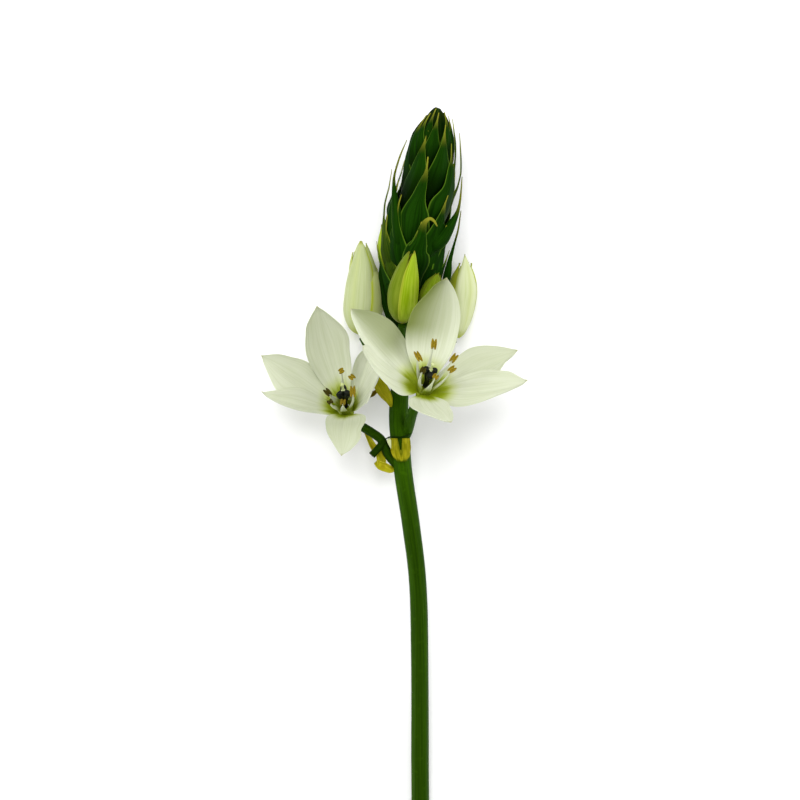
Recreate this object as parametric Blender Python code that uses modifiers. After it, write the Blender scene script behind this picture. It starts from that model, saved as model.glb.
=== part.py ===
# Star of Bethlehem flower: one cut raceme that lies on a surface.
# A bare stalk carries two open white flowers, closed buds and a dense head of green bracts.
# All sizes below are millimetres. Seen from above, x runs to the right and y towards the head.
# Places are measured from the stalk's middle just above the upper open flower's node, and z from the surface.
import math
import random

import bmesh
import bpy
from mathutils import Matrix, Vector

MM = 0.001
NAME = "star_of_bethlehem_flower"

# The middle of the whole outline seen from above becomes the origin.
OUTLINE_MIDDLE = Vector((-1.28, -16.45, 0.0))

# Stalk: x, y, z and radius along its middle, from the cut end to the root of the head.
STEM_ROUTE = (
    (4.2, -91.2, 1.62, 1.76),
    (4.0, -75.0, 2.40, 1.74),
    (3.9, -50.0, 3.62, 1.72),
    (3.5, -36.0, 4.27, 1.72),
    (2.2, -25.0, 4.79, 1.76),
    (0.7, -15.0, 5.25, 1.80),
    (0.0, -8.0, 5.58, 1.92),
    (-0.3, -2.0, 5.86, 1.90),
    (0.3, 6.0, 6.23, 1.60),
    (1.2, 12.0, 6.50, 1.45),
    (1.7, 16.0, 6.70, 1.35),
)
STEM_STEPS = 2

# The flower stalks, the bud stalks and one broken stub, from inside the stalk outwards.
SIDE_STALKS = (
    (  # left flower
        (-0.4, -13.0, 5.3, 1.0),
        (-2.3, -10.9, 5.5, 0.95),
        (-3.7, -8.0, 5.8, 0.9),
        (-5.6, -6.5, 6.2, 0.9),
        (-7.9, -5.1, 6.3, 0.9),
        (-9.5, -4.2, 6.4, 0.9),
        (-10.15, -3.55, 6.7, 1.0),
        (-10.35, -3.0, 7.5, 1.15),
    ),
    (  # right flower
        (0.3, -8.6, 5.6, 1.0),
        (1.5, -6.2, 6.7, 1.0),
        (2.1, -4.3, 8.6, 0.9),
        (2.7, -2.4, 11.0, 0.85),
        (3.45, -0.55, 13.1, 0.9),
        (4.0, 0.4, 14.2, 1.0),
        (4.26, 0.95, 15.0, 1.15),
    ),
    (  # left bud
        (-0.8, -1.2, 5.9, 1.0),
        (-2.5, 1.0, 5.6, 0.95),
        (-4.3, 4.0, 5.0, 0.8),
        (-6.3, 9.4, 4.2, 0.75),
        (-7.85, 12.7, 3.75, 0.85),
    ),
    (  # right bud
        (0.4, 1.2, 6.0, 0.9),
        (3.4, 3.4, 5.4, 0.75),
        (7.6, 6.8, 4.2, 0.65),
        (10.4, 9.9, 3.2, 0.65),
        (11.5, 12.0, 2.72, 0.7),
    ),
    (  # centre bud
        (0.5, 7.0, 6.3, 0.9),
        (0.6, 11.0, 7.6, 0.75),
        (0.4, 13.6, 9.5, 0.75),
        (0.4, 14.9, 10.7, 0.85),
    ),
    (  # small right bud
        (1.5, 13.4, 6.6, 0.8),
        (3.1, 15.2, 8.7, 0.6),
        (4.5, 17.0, 10.9, 0.65),
    ),
    (  # broken stub
        (-3.2, -8.2, 6.0, 0.75),
        (-4.3, -9.6, 6.5, 0.72),
        (-5.6, -11.0, 6.8, 0.72),
    ),
)
SIDE_STEPS = 2

# Open flowers: centre, axis, and for each tepal: azimuth and spread from the axis in degrees,
# length, half width, bow outwards, turn about its own length in degrees.
TEPAL_THICKNESS = 0.62
TEPAL_FOLD = 0.75
FLOWERS = {
    "right_flower": {
        "centre": (4.73, 1.97, 16.5),
        "axis": (0.25, 0.55, 0.80),
        "tepals": (
            (89, 44, 23.0, 5.3, 1.6, 0),
            (152, 63, 22.6, 4.6, 1.2, 0),
            (189, 48, 22.6, 4.7, 1.8, 0),
            (270, 50, 23.0, 4.7, 0.2, 0),
            (341, 48, 24.0, 4.7, 1.6, 0),
            (372, 51, 20.8, 5.0, 1.4, 0),
        ),
        # Stamens: azimuth of the root, azimuth and spread of the anther, filament length, anther heading.
        "stamens": (
            (150, 186, 20, 12.3, -72),
            (90, 107, 16, 11.9, 88),
            (30, 8, 15, 11.9, 48),
            (-30, -45, 17, 12.4, 40),
            (-90, -98, 22, 12.3, 56),
            (-150, -134, 22, 11.8, 70),
        ),
    },
    "left_flower": {
        "centre": (-10.72, -1.98, 9.0),
        "axis": (-0.20, 0.55, 0.81),
        "tepals": (
            (99, 36, 22.6, 4.5, 1.5, 0),
            (161, 45, 21.2, 4.3, 1.2, 0),
            (199, 42, 21.7, 4.4, 1.6, 0),
            (275, 59, 22.0, 3.8, -1.5, 0),
            (359, 28, 17.7, 3.9, 1.5, 0),
            (40, 37, 18.0, 3.7, 1.0, 0),
        ),
        "stamens": (
            (150, 205, 16, 11.0, -60),
            (90, 75, 15, 11.2, 20),
            (30, 15, 18, 11.1, -52),
            (-30, -41, 22, 11.2, 88),
            (-90, -85, 20, 10.6, 30),
            (-150, -130, 17, 11.4, -60),
        ),
    },
}
RECEPTACLE_RADIUS = 1.65
FILAMENT_ROOT = (1.62, 2.2)
FILAMENT_BOW = 0.35
ANTHER_SIZE = (0.6, 0.5, 1.7)
PISTIL_OUTLINE = (
    (0.0, 9.5),
    (0.42, 9.2),
    (0.32, 8.6),
    (0.38, 7.4),
    (0.95, 7.0),
    (1.5, 6.3),
    (1.58, 5.4),
    (1.3, 4.2),
    (0.95, 2.9),
    (0.8, 1.3),
    (0.0, 1.25),
)

# Closed buds: root, tip, largest radius, where along the bud it is widest, how far its middle bends to the
# right, and the angle that the first outer tepal faces.
BUDS = {
    "left_bud": ((-8.0, 13.2, 3.55), (-7.6, 31.7, 4.05), 3.95, 0.33, 0.7, -25),
    "right_bud": ((11.4, 12.4, 2.6), (13.1, 28.9, 2.8), 2.85, 0.55, 0.2, 50),
    "centre_bud": ((0.3, 15.4, 11.2), (2.4, 29.4, 17.5), 3.05, 0.36, -0.5, -28),
    "small_right_bud": ((4.8, 17.5, 11.6), (8.0, 25.8, 14.5), 2.15, 0.40, 0.0, 12),
}
PEEKING_BUD = ((-2.6, 24.2, 5.7), (-3.3, 34.9, 7.1), 1.8, 0.35, 0.0, 0)
BUD_WALL = 0.6

# Head of bracts: y, x and z of its middle, its radius there, and how much farther it reaches sideways.
HEAD_SECTIONS = (
    (16.3, 1.75, 6.72, 1.9, 0.0),
    (19.0, 2.1, 6.85, 2.6, 2.0),
    (22.0, 2.35, 6.95, 3.3, 2.5),
    (24.0, 2.45, 7.0, 4.4, 2.0),
    (26.5, 2.5, 7.05, 5.9, 1.4),
    (30.0, 2.6, 7.1, 7.0, 0.4),
    (35.0, 3.4, 7.15, 7.15, 0.0),
    (39.0, 4.2, 7.3, 6.8, 0.0),
    (42.0, 5.2, 7.45, 6.0, 0.0),
    (45.0, 5.8, 7.6, 5.5, 0.0),
    (49.0, 6.05, 7.75, 5.2, 0.0),
    (53.0, 6.6, 8.0, 4.2, 0.0),
    (56.6, 7.25, 8.1, 2.5, 0.0),
    (58.3, 7.65, 8.15, 0.6, 0.0),
)
CORE_SHARE = 0.68
BRACT_THICKNESS = 0.62
# Bracts that can be seen from above: y and angle of the root, x and y of the tip, the tip's distance from the
# head's middle, half width, lift of the upper half. Angle 0 faces straight up and 90 faces right.
SEEN_BRACTS = (
    (24.5, 8, 4.35, 35.2, 8.1, 2.9, 0.3),
    (26.0, -9, 5.55, 48.1, 6.0, 3.1, 0.5),
    (31.0, 42, 10.3, 50.8, 5.3, 3.1, 0.3),
    (25.0, 38, 12.3, 44.4, 6.9, 2.9, 0.2),
    (20.5, 55, 12.1, 37.7, 8.4, 2.9, 0.2),
    (20.5, -50, -1.8, 45.8, 7.9, 2.8, 0.4),
    (29.0, -48, 1.4, 51.6, 5.5, 2.7, 1.0),
    (34.0, -46, 5.55, 53.3, 4.6, 2.9, 0.3),
    (35.0, 12, 9.1, 54.5, 4.1, 2.8, 0.3),
    (42.0, -5, 7.7, 56.9, 2.7, 2.1, 0.2),
    (41.0, -62, 5.15, 56.5, 2.7, 2.1, 0.2),
    (43.5, -38, 5.95, 56.9, 2.4, 1.9, 0.2),
    (46.0, -15, 7.15, 57.8, 1.3, 1.6, 0.1),
    (37.0, 72, 10.5, 55.7, 3.8, 2.3, 0.6),
    (31.0, 82, 11.9, 53.0, 5.6, 2.4, 0.8),
    (43.0, 38, 8.9, 57.1, 2.2, 1.8, 0.2),
    (42.5, 68, 9.7, 56.3, 2.9, 1.9, 0.2),
    (38.0, -80, 3.0, 53.5, 4.0, 2.5, 0.2),
    (32.0, -84, 0.8, 47.6, 5.4, 2.8, 0.2),
    (16.8, -76, -4.75, 31.5, 7.7, 2.6, 0.0),
    (18.0, -56, -2.6, 36.7, 7.7, 2.8, 0.2),
    (16.9, 76, 9.9, 29.7, 7.6, 2.7, 0.0),
    (20.5, 42, 9.3, 34.6, 7.5, 2.7, 0.0),
)
# The drawn-out tip of the foremost bract curls over to the right: x, y, z.
CURLED_TIP = (
    (4.2, 33.4, 14.85),
    (4.45, 35.0, 15.1),
    (5.1, 35.95, 15.35),
    (6.1, 35.9, 15.5),
    (6.9, 35.2, 15.5),
    (7.35, 34.2, 15.3),
)
CURLED_TIP_RADIUS = 0.32
# Bracts on the underside follow a rule: staggered rows of two or three.
UNDER_ROWS = 7
UNDER_FIRST_Y = 17.5
UNDER_PITCH = 4.2
UNDER_LENGTH = 17.0
UNDER_SEED = 11

# Dry bracts at the nodes of the stalk: x, y, z, half width along each blade.
PAPERY_BRACT = (
    (-1.7, -14.2, 4.5, 0.8),
    (-3.0, -13.0, 4.0, 1.35),
    (-4.2, -11.5, 4.1, 1.3),
    (-5.1, -9.5, 4.5, 0.9),
    (-5.8, -7.7, 4.8, 0.4),
)
OLIVE_BRACT = (
    (-2.1, -1.2, 8.2, 0.8),
    (-3.1, 0.8, 7.9, 1.35),
    (-4.3, 3.4, 7.4, 1.3),
    (-5.3, 6.4, 6.8, 0.4),
)
DRY_BRACT_THICKNESS = 0.6
COLLAR_ROOT_Y = -12.2
COLLAR_TOP_Y = -7.6
COLLAR_GAP = 0.3
AWN_RADIUS = 0.3
AWN_ROUTE = (
    (2.4, -6.8, 7.5),
    (1.5, -7.3, 8.0),
    (0.2, -7.5, 8.3),
    (-1.0, -7.35, 8.05),
    (-1.95, -7.3, 7.35),
    (-2.6, -7.55, 6.9),
)

PART_COLOURS = {
    "stem": ((0.033, 0.09, 0.006), 0.5),
    "bract_head": ((0.012, 0.055, 0.006), 0.5),
    "tepals": ((0.72, 0.76, 0.55), 0.6),
    "stamens": ((0.70, 0.66, 0.35), 0.6),
    "pistil": ((0.02, 0.035, 0.012), 0.4),
    "left_bud": ((0.52, 0.58, 0.32), 0.55),
    "right_bud": ((0.60, 0.66, 0.34), 0.55),
    "centre_bud": ((0.32, 0.47, 0.05), 0.5),
    "small_right_bud": ((0.14, 0.25, 0.02), 0.5),
    "papery_bract": ((0.38, 0.34, 0.04), 0.7),
    "collar_bract": ((0.30, 0.30, 0.02), 0.7),
    "olive_bract": ((0.22, 0.22, 0.02), 0.7),
}

# How thick a slice the flat resting spots take off the underside is set by where the pieces lie.
FLOOR_CUTTER_SIZE = (80.0, 220.0, 10.0)


def clear_scene():
    for thing in list(bpy.data.objects):
        bpy.data.objects.remove(thing, do_unlink=True)


def new_collection(name, parent):
    collection = bpy.data.collections.new(name)
    parent.children.link(collection)
    return collection


def material(name, colour, roughness):
    made = bpy.data.materials.new(name)
    made.use_nodes = True
    shader = made.node_tree.nodes["Principled BSDF"]
    shader.inputs["Base Color"].default_value = (*colour, 1.0)
    shader.inputs["Roughness"].default_value = roughness
    shader.inputs["Metallic"].default_value = 0.0
    return made


def at(x, y, z):
    """A place given in millimetres from the stalk's middle, in metres from the origin."""
    return (Vector((x, y, z)) - OUTLINE_MIDDLE) * MM


def mix(a, b, share):
    return a + (b - a) * share


def ease(share):
    share = min(1.0, max(0.0, share))
    return share * share * (3 - 2 * share)


def through(points, steps):
    """Points on a smooth curve through the given rows of numbers, with this many steps between each two."""
    rows = [points[0], *points, points[-1]]
    found = []
    for i in range(1, len(rows) - 2):
        before, start, end, after = (Vector(row) for row in rows[i - 1 : i + 3])
        for step in range(steps):
            u = step / steps
            found.append(
                0.5
                * (
                    2 * start
                    + (end - before) * u
                    + (2 * before - 5 * start + 4 * end - after) * u * u
                    + (3 * start - before - 3 * end + after) * u * u * u
                )
            )
    found.append(Vector(points[-1]))
    return found


def mesh_object(name, mesh, collection):
    made = bpy.data.objects.new(name, mesh)
    collection.objects.link(made)
    return made


def evaluated_mesh(source):
    """The object's mesh with its modifiers applied, or a curve's mesh with its caps welded."""
    bpy.context.view_layer.update()
    graph = bpy.context.evaluated_depsgraph_get()
    return bpy.data.meshes.new_from_object(source.evaluated_get(graph))


def tube(name, points, radii, resolution, collection):
    """A closed mesh tube along the points, each with its own radius."""
    curve = bpy.data.curves.new(name, "CURVE")
    curve.dimensions = "3D"
    curve.bevel_depth = MM
    curve.bevel_resolution = resolution
    curve.use_fill_caps = True
    spline = curve.splines.new("POLY")
    spline.points.add(len(points) - 1)
    for point, place, radius in zip(spline.points, points, radii):
        point.co = (*at(*place), 1.0)
        point.radius = radius
    guide = mesh_object(name + "_guide", curve, collection)
    mesh = evaluated_mesh(guide)
    bpy.data.objects.remove(guide, do_unlink=True)
    shape = bmesh.new()
    shape.from_mesh(mesh)
    bmesh.ops.remove_doubles(shape, verts=shape.verts, dist=1e-6)
    bmesh.ops.recalc_face_normals(shape, faces=shape.faces)
    shape.to_mesh(mesh)
    shape.free()
    return mesh_object(name, mesh, collection)


def route_tube(name, route, steps, resolution, collection):
    rows = through(route, steps)
    return tube(name, [row[:3] for row in rows], [row[3] for row in rows], resolution, collection)


def blade(name, place, rows, columns, thickness, collection):
    """A thin closed blade. place(t, q) gives its middle surface in metres: t from root to tip, q from -1 to 1."""
    shape = bmesh.new()
    bmesh.ops.create_grid(shape, x_segments=rows, y_segments=columns, size=1.0)
    bmesh.ops.triangulate(shape, faces=shape.faces)
    for vertex in shape.verts:
        vertex.co = place((vertex.co.x + 1) / 2, vertex.co.y)
    mesh = bpy.data.meshes.new(name)
    shape.to_mesh(mesh)
    shape.free()
    made = mesh_object(name, mesh, collection)
    solid = made.modifiers.new("thickness", "SOLIDIFY")
    solid.thickness = thickness * MM
    solid.offset = 0.0
    return made


def ball(name, place, around, along, collection):
    """A closed round form. place(t, angle) gives its surface in metres: t from 0 to 1 along it."""
    shape = bmesh.new()
    bmesh.ops.create_uvsphere(shape, u_segments=around, v_segments=along, radius=1.0)
    for vertex in shape.verts:
        t = 1 - math.acos(max(-1.0, min(1.0, vertex.co.z))) / math.pi
        vertex.co = place(t, math.atan2(vertex.co.y, vertex.co.x))
    bmesh.ops.recalc_face_normals(shape, faces=shape.faces)
    mesh = bpy.data.meshes.new(name)
    shape.to_mesh(mesh)
    shape.free()
    return mesh_object(name, mesh, collection)


def largest_body(mesh):
    """Keeps the outer skin of the largest body, so sealed hollows are filled and loose scraps dropped."""
    shape = bmesh.new()
    shape.from_mesh(mesh)
    bmesh.ops.triangulate(shape, faces=shape.faces)
    waiting = set(shape.faces)
    bodies = []
    while waiting:
        seed = waiting.pop()
        group = [seed]
        stack = [seed]
        while stack:
            for edge in stack.pop().edges:
                for face in edge.link_faces:
                    if face in waiting:
                        waiting.discard(face)
                        group.append(face)
                        stack.append(face)
        corners = [[vertex.co for vertex in face.verts] for face in group]
        volume = sum(a.dot(b.cross(c)) for a, b, c in corners) / 6
        bodies.append((volume, group))
    bodies.sort(key=lambda body: body[0])
    for _, group in bodies[:-1]:
        bmesh.ops.delete(shape, geom=group, context="FACES")
    bmesh.ops.dissolve_limit(shape, angle_limit=0.02, verts=shape.verts, edges=shape.edges)
    bmesh.ops.triangulate(shape, faces=shape.faces)
    shape.to_mesh(mesh)
    shape.free()


def fuse(name, base, others, solver="EXACT"):
    """Joins the base and every object of the collection in one solid, and removes the collection."""
    join = base.modifiers.new("join", "BOOLEAN")
    join.operation = "UNION"
    join.operand_type = "COLLECTION"
    join.collection = others
    join.solver = solver
    mesh = evaluated_mesh(base)
    base.modifiers.remove(join)
    for extra in list(others.objects):
        bpy.data.objects.remove(extra, do_unlink=True)
    bpy.data.collections.remove(others)
    largest_body(mesh)
    mesh.name = name
    base.modifiers.clear()
    base.data = mesh
    base.name = name
    return base


def flatten_underside(thing, cutter):
    """Cuts off what lies below the surface, which leaves the small flat spots that the flower rests on."""
    cut = thing.modifiers.new("underside", "BOOLEAN")
    cut.operation = "DIFFERENCE"
    cut.object = cutter
    cut.solver = "EXACT"
    mesh = evaluated_mesh(thing)
    thing.modifiers.remove(cut)
    largest_body(mesh)
    mesh.name = thing.name
    thing.data = mesh


def finish_piece(thing, colour_name, sharp_degrees=35):
    colour, roughness = PART_COLOURS[colour_name]
    thing.data.materials.clear()
    thing.data.materials.append(material(thing.name, colour, roughness))
    thing.data.shade_smooth()
    thing.data.set_sharp_from_angle(angle=math.radians(sharp_degrees))


def floor_cutter(collection):
    bpy.ops.mesh.primitive_cube_add(size=1.0)
    cutter = bpy.context.active_object
    cutter.name = "surface_cutter"
    width, length, height = FLOOR_CUTTER_SIZE
    cutter.scale = (width * MM, length * MM, height * MM)
    cutter.location = (0.0, 0.0, -height * MM / 2)
    for holder in list(cutter.users_collection):
        holder.objects.unlink(cutter)
    collection.objects.link(cutter)
    cutter.hide_render = True
    cutter.display_type = "WIRE"
    return cutter


def build_stem(parts, scratch):
    """The stalk with its side stalks, grown as one piece."""
    main = route_tube("stem", STEM_ROUTE, STEM_STEPS, 3, parts)
    sides = new_collection("stem_sides", scratch)
    for index, route in enumerate(SIDE_STALKS):
        route_tube(f"side_stalk_{index}", route, SIDE_STEPS, 2, sides)
    return fuse("stem", main, sides)


def tepal_width(t):
    """Share of the largest width at t: a narrow root, widest past the middle, a pointed tip."""
    wave = math.sin(math.pi * min(1.0, t) ** 1.233)
    return max(0.0, wave) ** (0.55 if t < 0.57 else 1.0)


def tepal_place(t, q, spec):
    azimuth, spread, length, half_width, bow, turn = spec
    azimuth, spread, turn = (math.radians(value) for value in (azimuth, spread, turn))
    radial = Vector((math.cos(azimuth), math.sin(azimuth), 0.0))
    up = Vector((0.0, 0.0, 1.0))
    side = Vector((-math.sin(azimuth), math.cos(azimuth), 0.0))
    along = radial * math.sin(spread) + up * math.cos(spread)
    outward = radial * math.cos(spread) - up * math.sin(spread)
    middle = radial * 1.2 * (1 - t) + along * length * t + outward * bow * 4 * t * (1 - t)
    tangent = (along * length + outward * bow * 4 * (1 - 2 * t)).normalized()
    inward = tangent.cross(side)
    across = side * math.cos(turn * t) + inward * math.sin(turn * t)
    inward = tangent.cross(across)
    half = max(0.35, 0.2 * half_width * (1 - t), half_width * tepal_width(t))
    fold = TEPAL_FOLD
    offset = across * math.sin(fold * q) / fold + inward * (1 - math.cos(fold * q)) / fold
    return (middle + offset * half) * MM


def build_tepals(name, specs, parts, scratch):
    """Six tepals on one receptacle, in the flower's own frame with its axis along z."""
    radius = RECEPTACLE_RADIUS

    def receptacle(t, angle):
        ring = radius * math.sin(math.pi * t)
        height = 0.75 - radius * (1 + math.cos(math.pi * t))
        return Vector((ring * math.cos(angle), ring * math.sin(angle), max(height, -1.45))) * MM

    base = ball(name, receptacle, 12, 7, parts)
    others = new_collection(name + "_tepals", scratch)
    for index, spec in enumerate(specs):
        blade(f"{name}_{index}", lambda t, q, spec=spec: tepal_place(t, q, spec), 8, 4, TEPAL_THICKNESS, others)
    return fuse(name, base, others)


def filament_ends(spec):
    root_azimuth, azimuth, spread, length, _ = (math.radians(value) for value in spec)
    length = spec[3]
    reach, height = FILAMENT_ROOT
    root = Vector((reach * math.cos(root_azimuth), reach * math.sin(root_azimuth), height))
    tip = Vector(
        (
            length * math.sin(spread) * math.cos(azimuth),
            length * math.sin(spread) * math.sin(azimuth),
            length * math.cos(spread),
        )
    )
    return root, tip


def filament_place(t, q, spec):
    root, tip = filament_ends(spec)
    azimuth = math.radians(spec[0])
    side = Vector((-math.sin(azimuth), math.cos(azimuth), 0.0))
    outward = Vector((math.cos(azimuth), math.sin(azimuth), 0.0))
    half = mix(1.12, 0.36, ease(t * 1.1))
    return (root.lerp(tip, t) + outward * FILAMENT_BOW * 4 * t * (1 - t) + side * q * half) * MM


def anther(name, spec, collection):
    width, depth, half_length = ANTHER_SIZE
    _, tip = filament_ends(spec)
    heading = math.radians(spec[4])
    long_way = Vector((math.cos(heading), math.sin(heading), 0.25)).normalized()
    wide_way = long_way.cross(Vector((0.0, 0.0, 1.0))).normalized()
    deep_way = wide_way.cross(long_way)

    def place(t, angle):
        ring = math.sin(math.pi * t) ** 0.7
        spot = tip + long_way * half_length * (2 * t - 1)
        spot += wide_way * width * ring * math.cos(angle) + deep_way * depth * ring * math.sin(angle)
        return spot * MM

    return ball(name, place, 6, 5, collection)


def build_stamens(name, specs, parts, scratch):
    """Six filaments whose broad roots join in a ring round the pistil, each with its anther."""
    others = new_collection(name + "_rest", scratch)
    filaments = []
    for index, spec in enumerate(specs):
        holder = others if index else parts
        filaments.append(
            blade(f"{name}_{index}", lambda t, q, spec=spec: filament_place(t, q, spec), 4, 2, 0.6, holder)
        )
        anther(f"{name}_anther_{index}", spec, others)
    base = filaments[0]
    base.data = evaluated_mesh(base)
    base.modifiers.clear()
    return fuse(name, base, others)


def build_pistil(name, parts):
    """Ovary, style and stigma, turned about the flower's axis."""
    mesh = bpy.data.meshes.new(name)
    points = [(radius * MM, 0.0, height * MM) for radius, height in PISTIL_OUTLINE]
    edges = [(i, i + 1) for i in range(len(points) - 1)]
    mesh.from_pydata(points, edges, [])
    made = mesh_object(name, mesh, parts)
    turned = made.modifiers.new("turned", "SCREW")
    turned.steps = 12
    turned.render_steps = 12
    turned.use_merge_vertices = True
    turned.merge_threshold = 1e-5
    made.data = evaluated_mesh(made)
    made.modifiers.clear()
    return made


def build_flower(flower, parts, scratch):
    spec = FLOWERS[flower]
    axis = Vector(spec["axis"]).normalized()
    right = (Vector((1.0, 0.0, 0.0)) - axis * axis.x).normalized()
    turn = Matrix((right, axis.cross(right), axis)).transposed().to_4x4()
    holder = bpy.data.objects.new(flower, None)
    parts.objects.link(holder)
    holder.matrix_world = Matrix.Translation(at(*spec["centre"])) @ turn
    pieces = {
        "tepals": build_tepals(flower + "_tepals", spec["tepals"], parts, scratch),
        "stamens": build_stamens(flower + "_stamens", spec["stamens"], parts, scratch),
        "pistil": build_pistil(flower + "_pistil", parts),
    }
    for kind, piece in pieces.items():
        piece.parent = holder
        finish_piece(piece, kind)


def bud_outline(t, widest):
    """Share of the largest radius at t along a bud."""
    if t < widest:
        return math.sqrt(max(0.0, 1 - (1 - t / widest) ** 2))
    return 1 - 0.9 * ((t - widest) / (1 - widest)) ** 1.75


def bud_place(t, angle, reach, spec):
    """A place beside the bud's middle line, in metres from the bud's root. Angle 0 faces straight up."""
    root, tip, _, _, bend, _ = spec
    line = Vector(tip) - Vector(root)
    right = line.cross(Vector((0.0, 0.0, 1.0))).normalized()
    facing = right.cross(line).normalized()
    middle = line * t + right * bend * 4 * t * (1 - t)
    return (middle + right * reach * math.sin(angle) + facing * reach * math.cos(angle)) * MM


def bud_tepal_place(t, q, spec, azimuth, half_angle, inset):
    """One tepal wrapped round a bud: its edges lie on the bud and its tip stands a little free."""
    _, _, radius, widest, _, turn = spec
    reach = max(radius * bud_outline(0.03 + 0.97 * t, widest) - inset, 0.42 - 0.1 * q)
    angle = math.radians(azimuth + turn) + q * math.radians(half_angle) * (1 - 0.35 * ease((t - 0.6) / 0.4))
    return bud_place(t, angle, reach + 0.12 * q * ease(t * 4), spec)


def build_bud(name, spec, parts, scratch, rows=5):
    """A closed bud: three outer tepals that overlap edge on edge, three inner ones and a core, fused."""
    root, _, radius, widest, _, _ = spec

    def core(t, angle):
        reach = max(0.0, radius * bud_outline(t * 0.9 + 0.02, widest) - 0.5) if 0 < t < 1 else 0.0
        return bud_place(0.015 + 0.88 * t, angle, reach, spec)

    base = ball(name, core, 10, 7, parts)
    others = new_collection(name + "_tepals", scratch)
    for index in range(3):
        outer = (index * 120.0, 64.0, BUD_WALL / 2, rows, 4)
        inner = (index * 120.0 + 60.0, 28.0, BUD_WALL / 2 + 0.2, rows - 1, 1)
        for kind, (azimuth, half_angle, inset, along, across) in (("outer", outer), ("inner", inner)):
            blade(
                f"{name}_{kind}_{index}",
                lambda t, q, a=azimuth, h=half_angle, i=inset: bud_tepal_place(t, q, spec, a, h, i),
                along,
                across,
                BUD_WALL,
                others,
            )
    made = fuse(name, base, others)
    made.location = at(*root)
    return made


def head_section(y):
    """Middle x and z, radius and sideways reach of the head at y, between the named sections."""
    for low, high in zip(HEAD_SECTIONS, HEAD_SECTIONS[1:]):
        if y <= high[0]:
            share = max(0.0, (y - low[0]) / (high[0] - low[0]))
            return tuple(mix(a, b, share) for a, b in zip(low[1:], high[1:]))
    return HEAD_SECTIONS[-1][1:]


def head_radius(y, angle):
    """Outer radius of the head: it reaches farther sideways near its foot, less so on the underside."""
    _, _, radius, sideways = head_section(y)
    return radius + sideways * math.sin(angle) ** 4 * min(1.0, 1 + math.cos(angle))


def head_place(y, angle, radius):
    middle_x, middle_z, _, _ = head_section(y)
    return at(middle_x + radius * math.sin(angle), y, middle_z + radius * math.cos(angle))


def bract_width(t):
    """Share of the largest half width: clasping and broad below, drawn out to an awn above."""
    if t < 0.5:
        return 0.8 + 0.2 * math.sin(math.pi * t)
    return (1 - (t - 0.5) / 0.5) ** 1.6


def bract_place(t, q, spec):
    root_y, root_angle, tip_y, tip_angle, tip_radius, half_width, lift = spec
    y = mix(root_y, tip_y, t)
    middle_angle = math.radians(mix(root_angle, tip_angle, t))
    widest = 0.4
    outside_angle = math.radians(mix(root_angle, tip_angle, widest))
    outside = head_radius(mix(root_y, tip_y, widest), outside_angle) - BRACT_THICKNESS / 2
    inside = head_section(root_y)[2] * CORE_SHARE * 0.7
    if t < widest:
        radius = mix(inside, outside, math.sin(t / widest * math.pi / 2))
    else:
        share = (t - widest) / (1 - widest)
        radius = mix(outside, tip_radius, share) + lift * math.sin(math.pi * share)
    half = max(0.3, half_width * bract_width(t))
    angle = middle_angle + q * min(half / max(radius, 0.8), math.radians(75))
    if t < widest:
        radius = min(radius, head_radius(y, angle) - BRACT_THICKNESS / 2)
    return head_place(y, angle, radius - 0.25 * q * q * bract_width(t))


def seen_bracts():
    """The bracts seen from above, each with the angle of its tip worked out from where the tip is seen."""
    found = []
    for root_y, root_angle, tip_x, tip_y, tip_radius, half_width, lift in SEEN_BRACTS:
        aside = (tip_x - head_section(tip_y)[0]) / tip_radius
        tip_angle = math.degrees(math.asin(max(-1.0, min(1.0, aside))))
        found.append((root_y, root_angle, tip_y, tip_angle, tip_radius, half_width, lift))
    return found


def under_bracts():
    """Staggered bracts on the side of the head that the light doesn't reach."""
    draw = random.Random(UNDER_SEED)
    found = []
    for row in range(UNDER_ROWS):
        for angle in (125, 180, 235) if row % 2 else (152, 208):
            root_y = UNDER_FIRST_Y + UNDER_PITCH * row + draw.uniform(-0.5, 0.5)
            tip_y = min(root_y + UNDER_LENGTH * (1 - 0.03 * row), 57.5)
            root_angle = angle + draw.uniform(-6, 6)
            tip_angle = mix(root_angle, 180, -0.05)
            tip_radius = head_section(tip_y)[2] + 0.35
            found.append((root_y, root_angle, tip_y, tip_angle, tip_radius, 3.0 - 0.16 * row, 0.0))
    return found


def build_head(parts, scratch):
    """The dense head: bracts on a slim core, with one young bud that peeks out at the left."""
    points = [(row[1], row[0], row[2]) for row in HEAD_SECTIONS]
    radii = [max(0.3, row[3] * CORE_SHARE) for row in HEAD_SECTIONS]
    base = tube("bract_head", points, radii, 2, parts)
    others = new_collection("head_bracts", scratch)
    for index, spec in enumerate((*seen_bracts(), *under_bracts())):
        blade(f"bract_{index}", lambda t, q, spec=spec: bract_place(t, q, spec), 5, 2, BRACT_THICKNESS, others)
    tube("curled_tip", CURLED_TIP, [CURLED_TIP_RADIUS] * len(CURLED_TIP), 0, others)
    build_bud("peeking_bud", PEEKING_BUD, others, scratch, 4)
    return fuse("bract_head", base, others)


def ribbon_place(t, q, route, cup):
    """A dry bract along its route: seen face on, with its edges curled towards the light."""
    rows = through(route, 4)
    place = t * (len(rows) - 1)
    low = min(int(place), len(rows) - 2)
    row = rows[low].lerp(rows[low + 1], place - low)
    ahead = (rows[low + 1] - rows[low]).xyz.normalized()
    side = ahead.cross(Vector((0.0, 0.0, 1.0))).normalized()
    facing = side.cross(ahead)
    spot = row.xyz + side * q * row.w * math.cos(cup * q) + facing * cup * q * q * row.w
    return at(*spot)


def stem_at(y):
    rows = through(STEM_ROUTE, 6)
    for low, high in zip(rows, rows[1:]):
        if low.y <= y <= high.y:
            return low.lerp(high, (y - low.y) / (high.y - low.y))
    return rows[-1]


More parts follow.
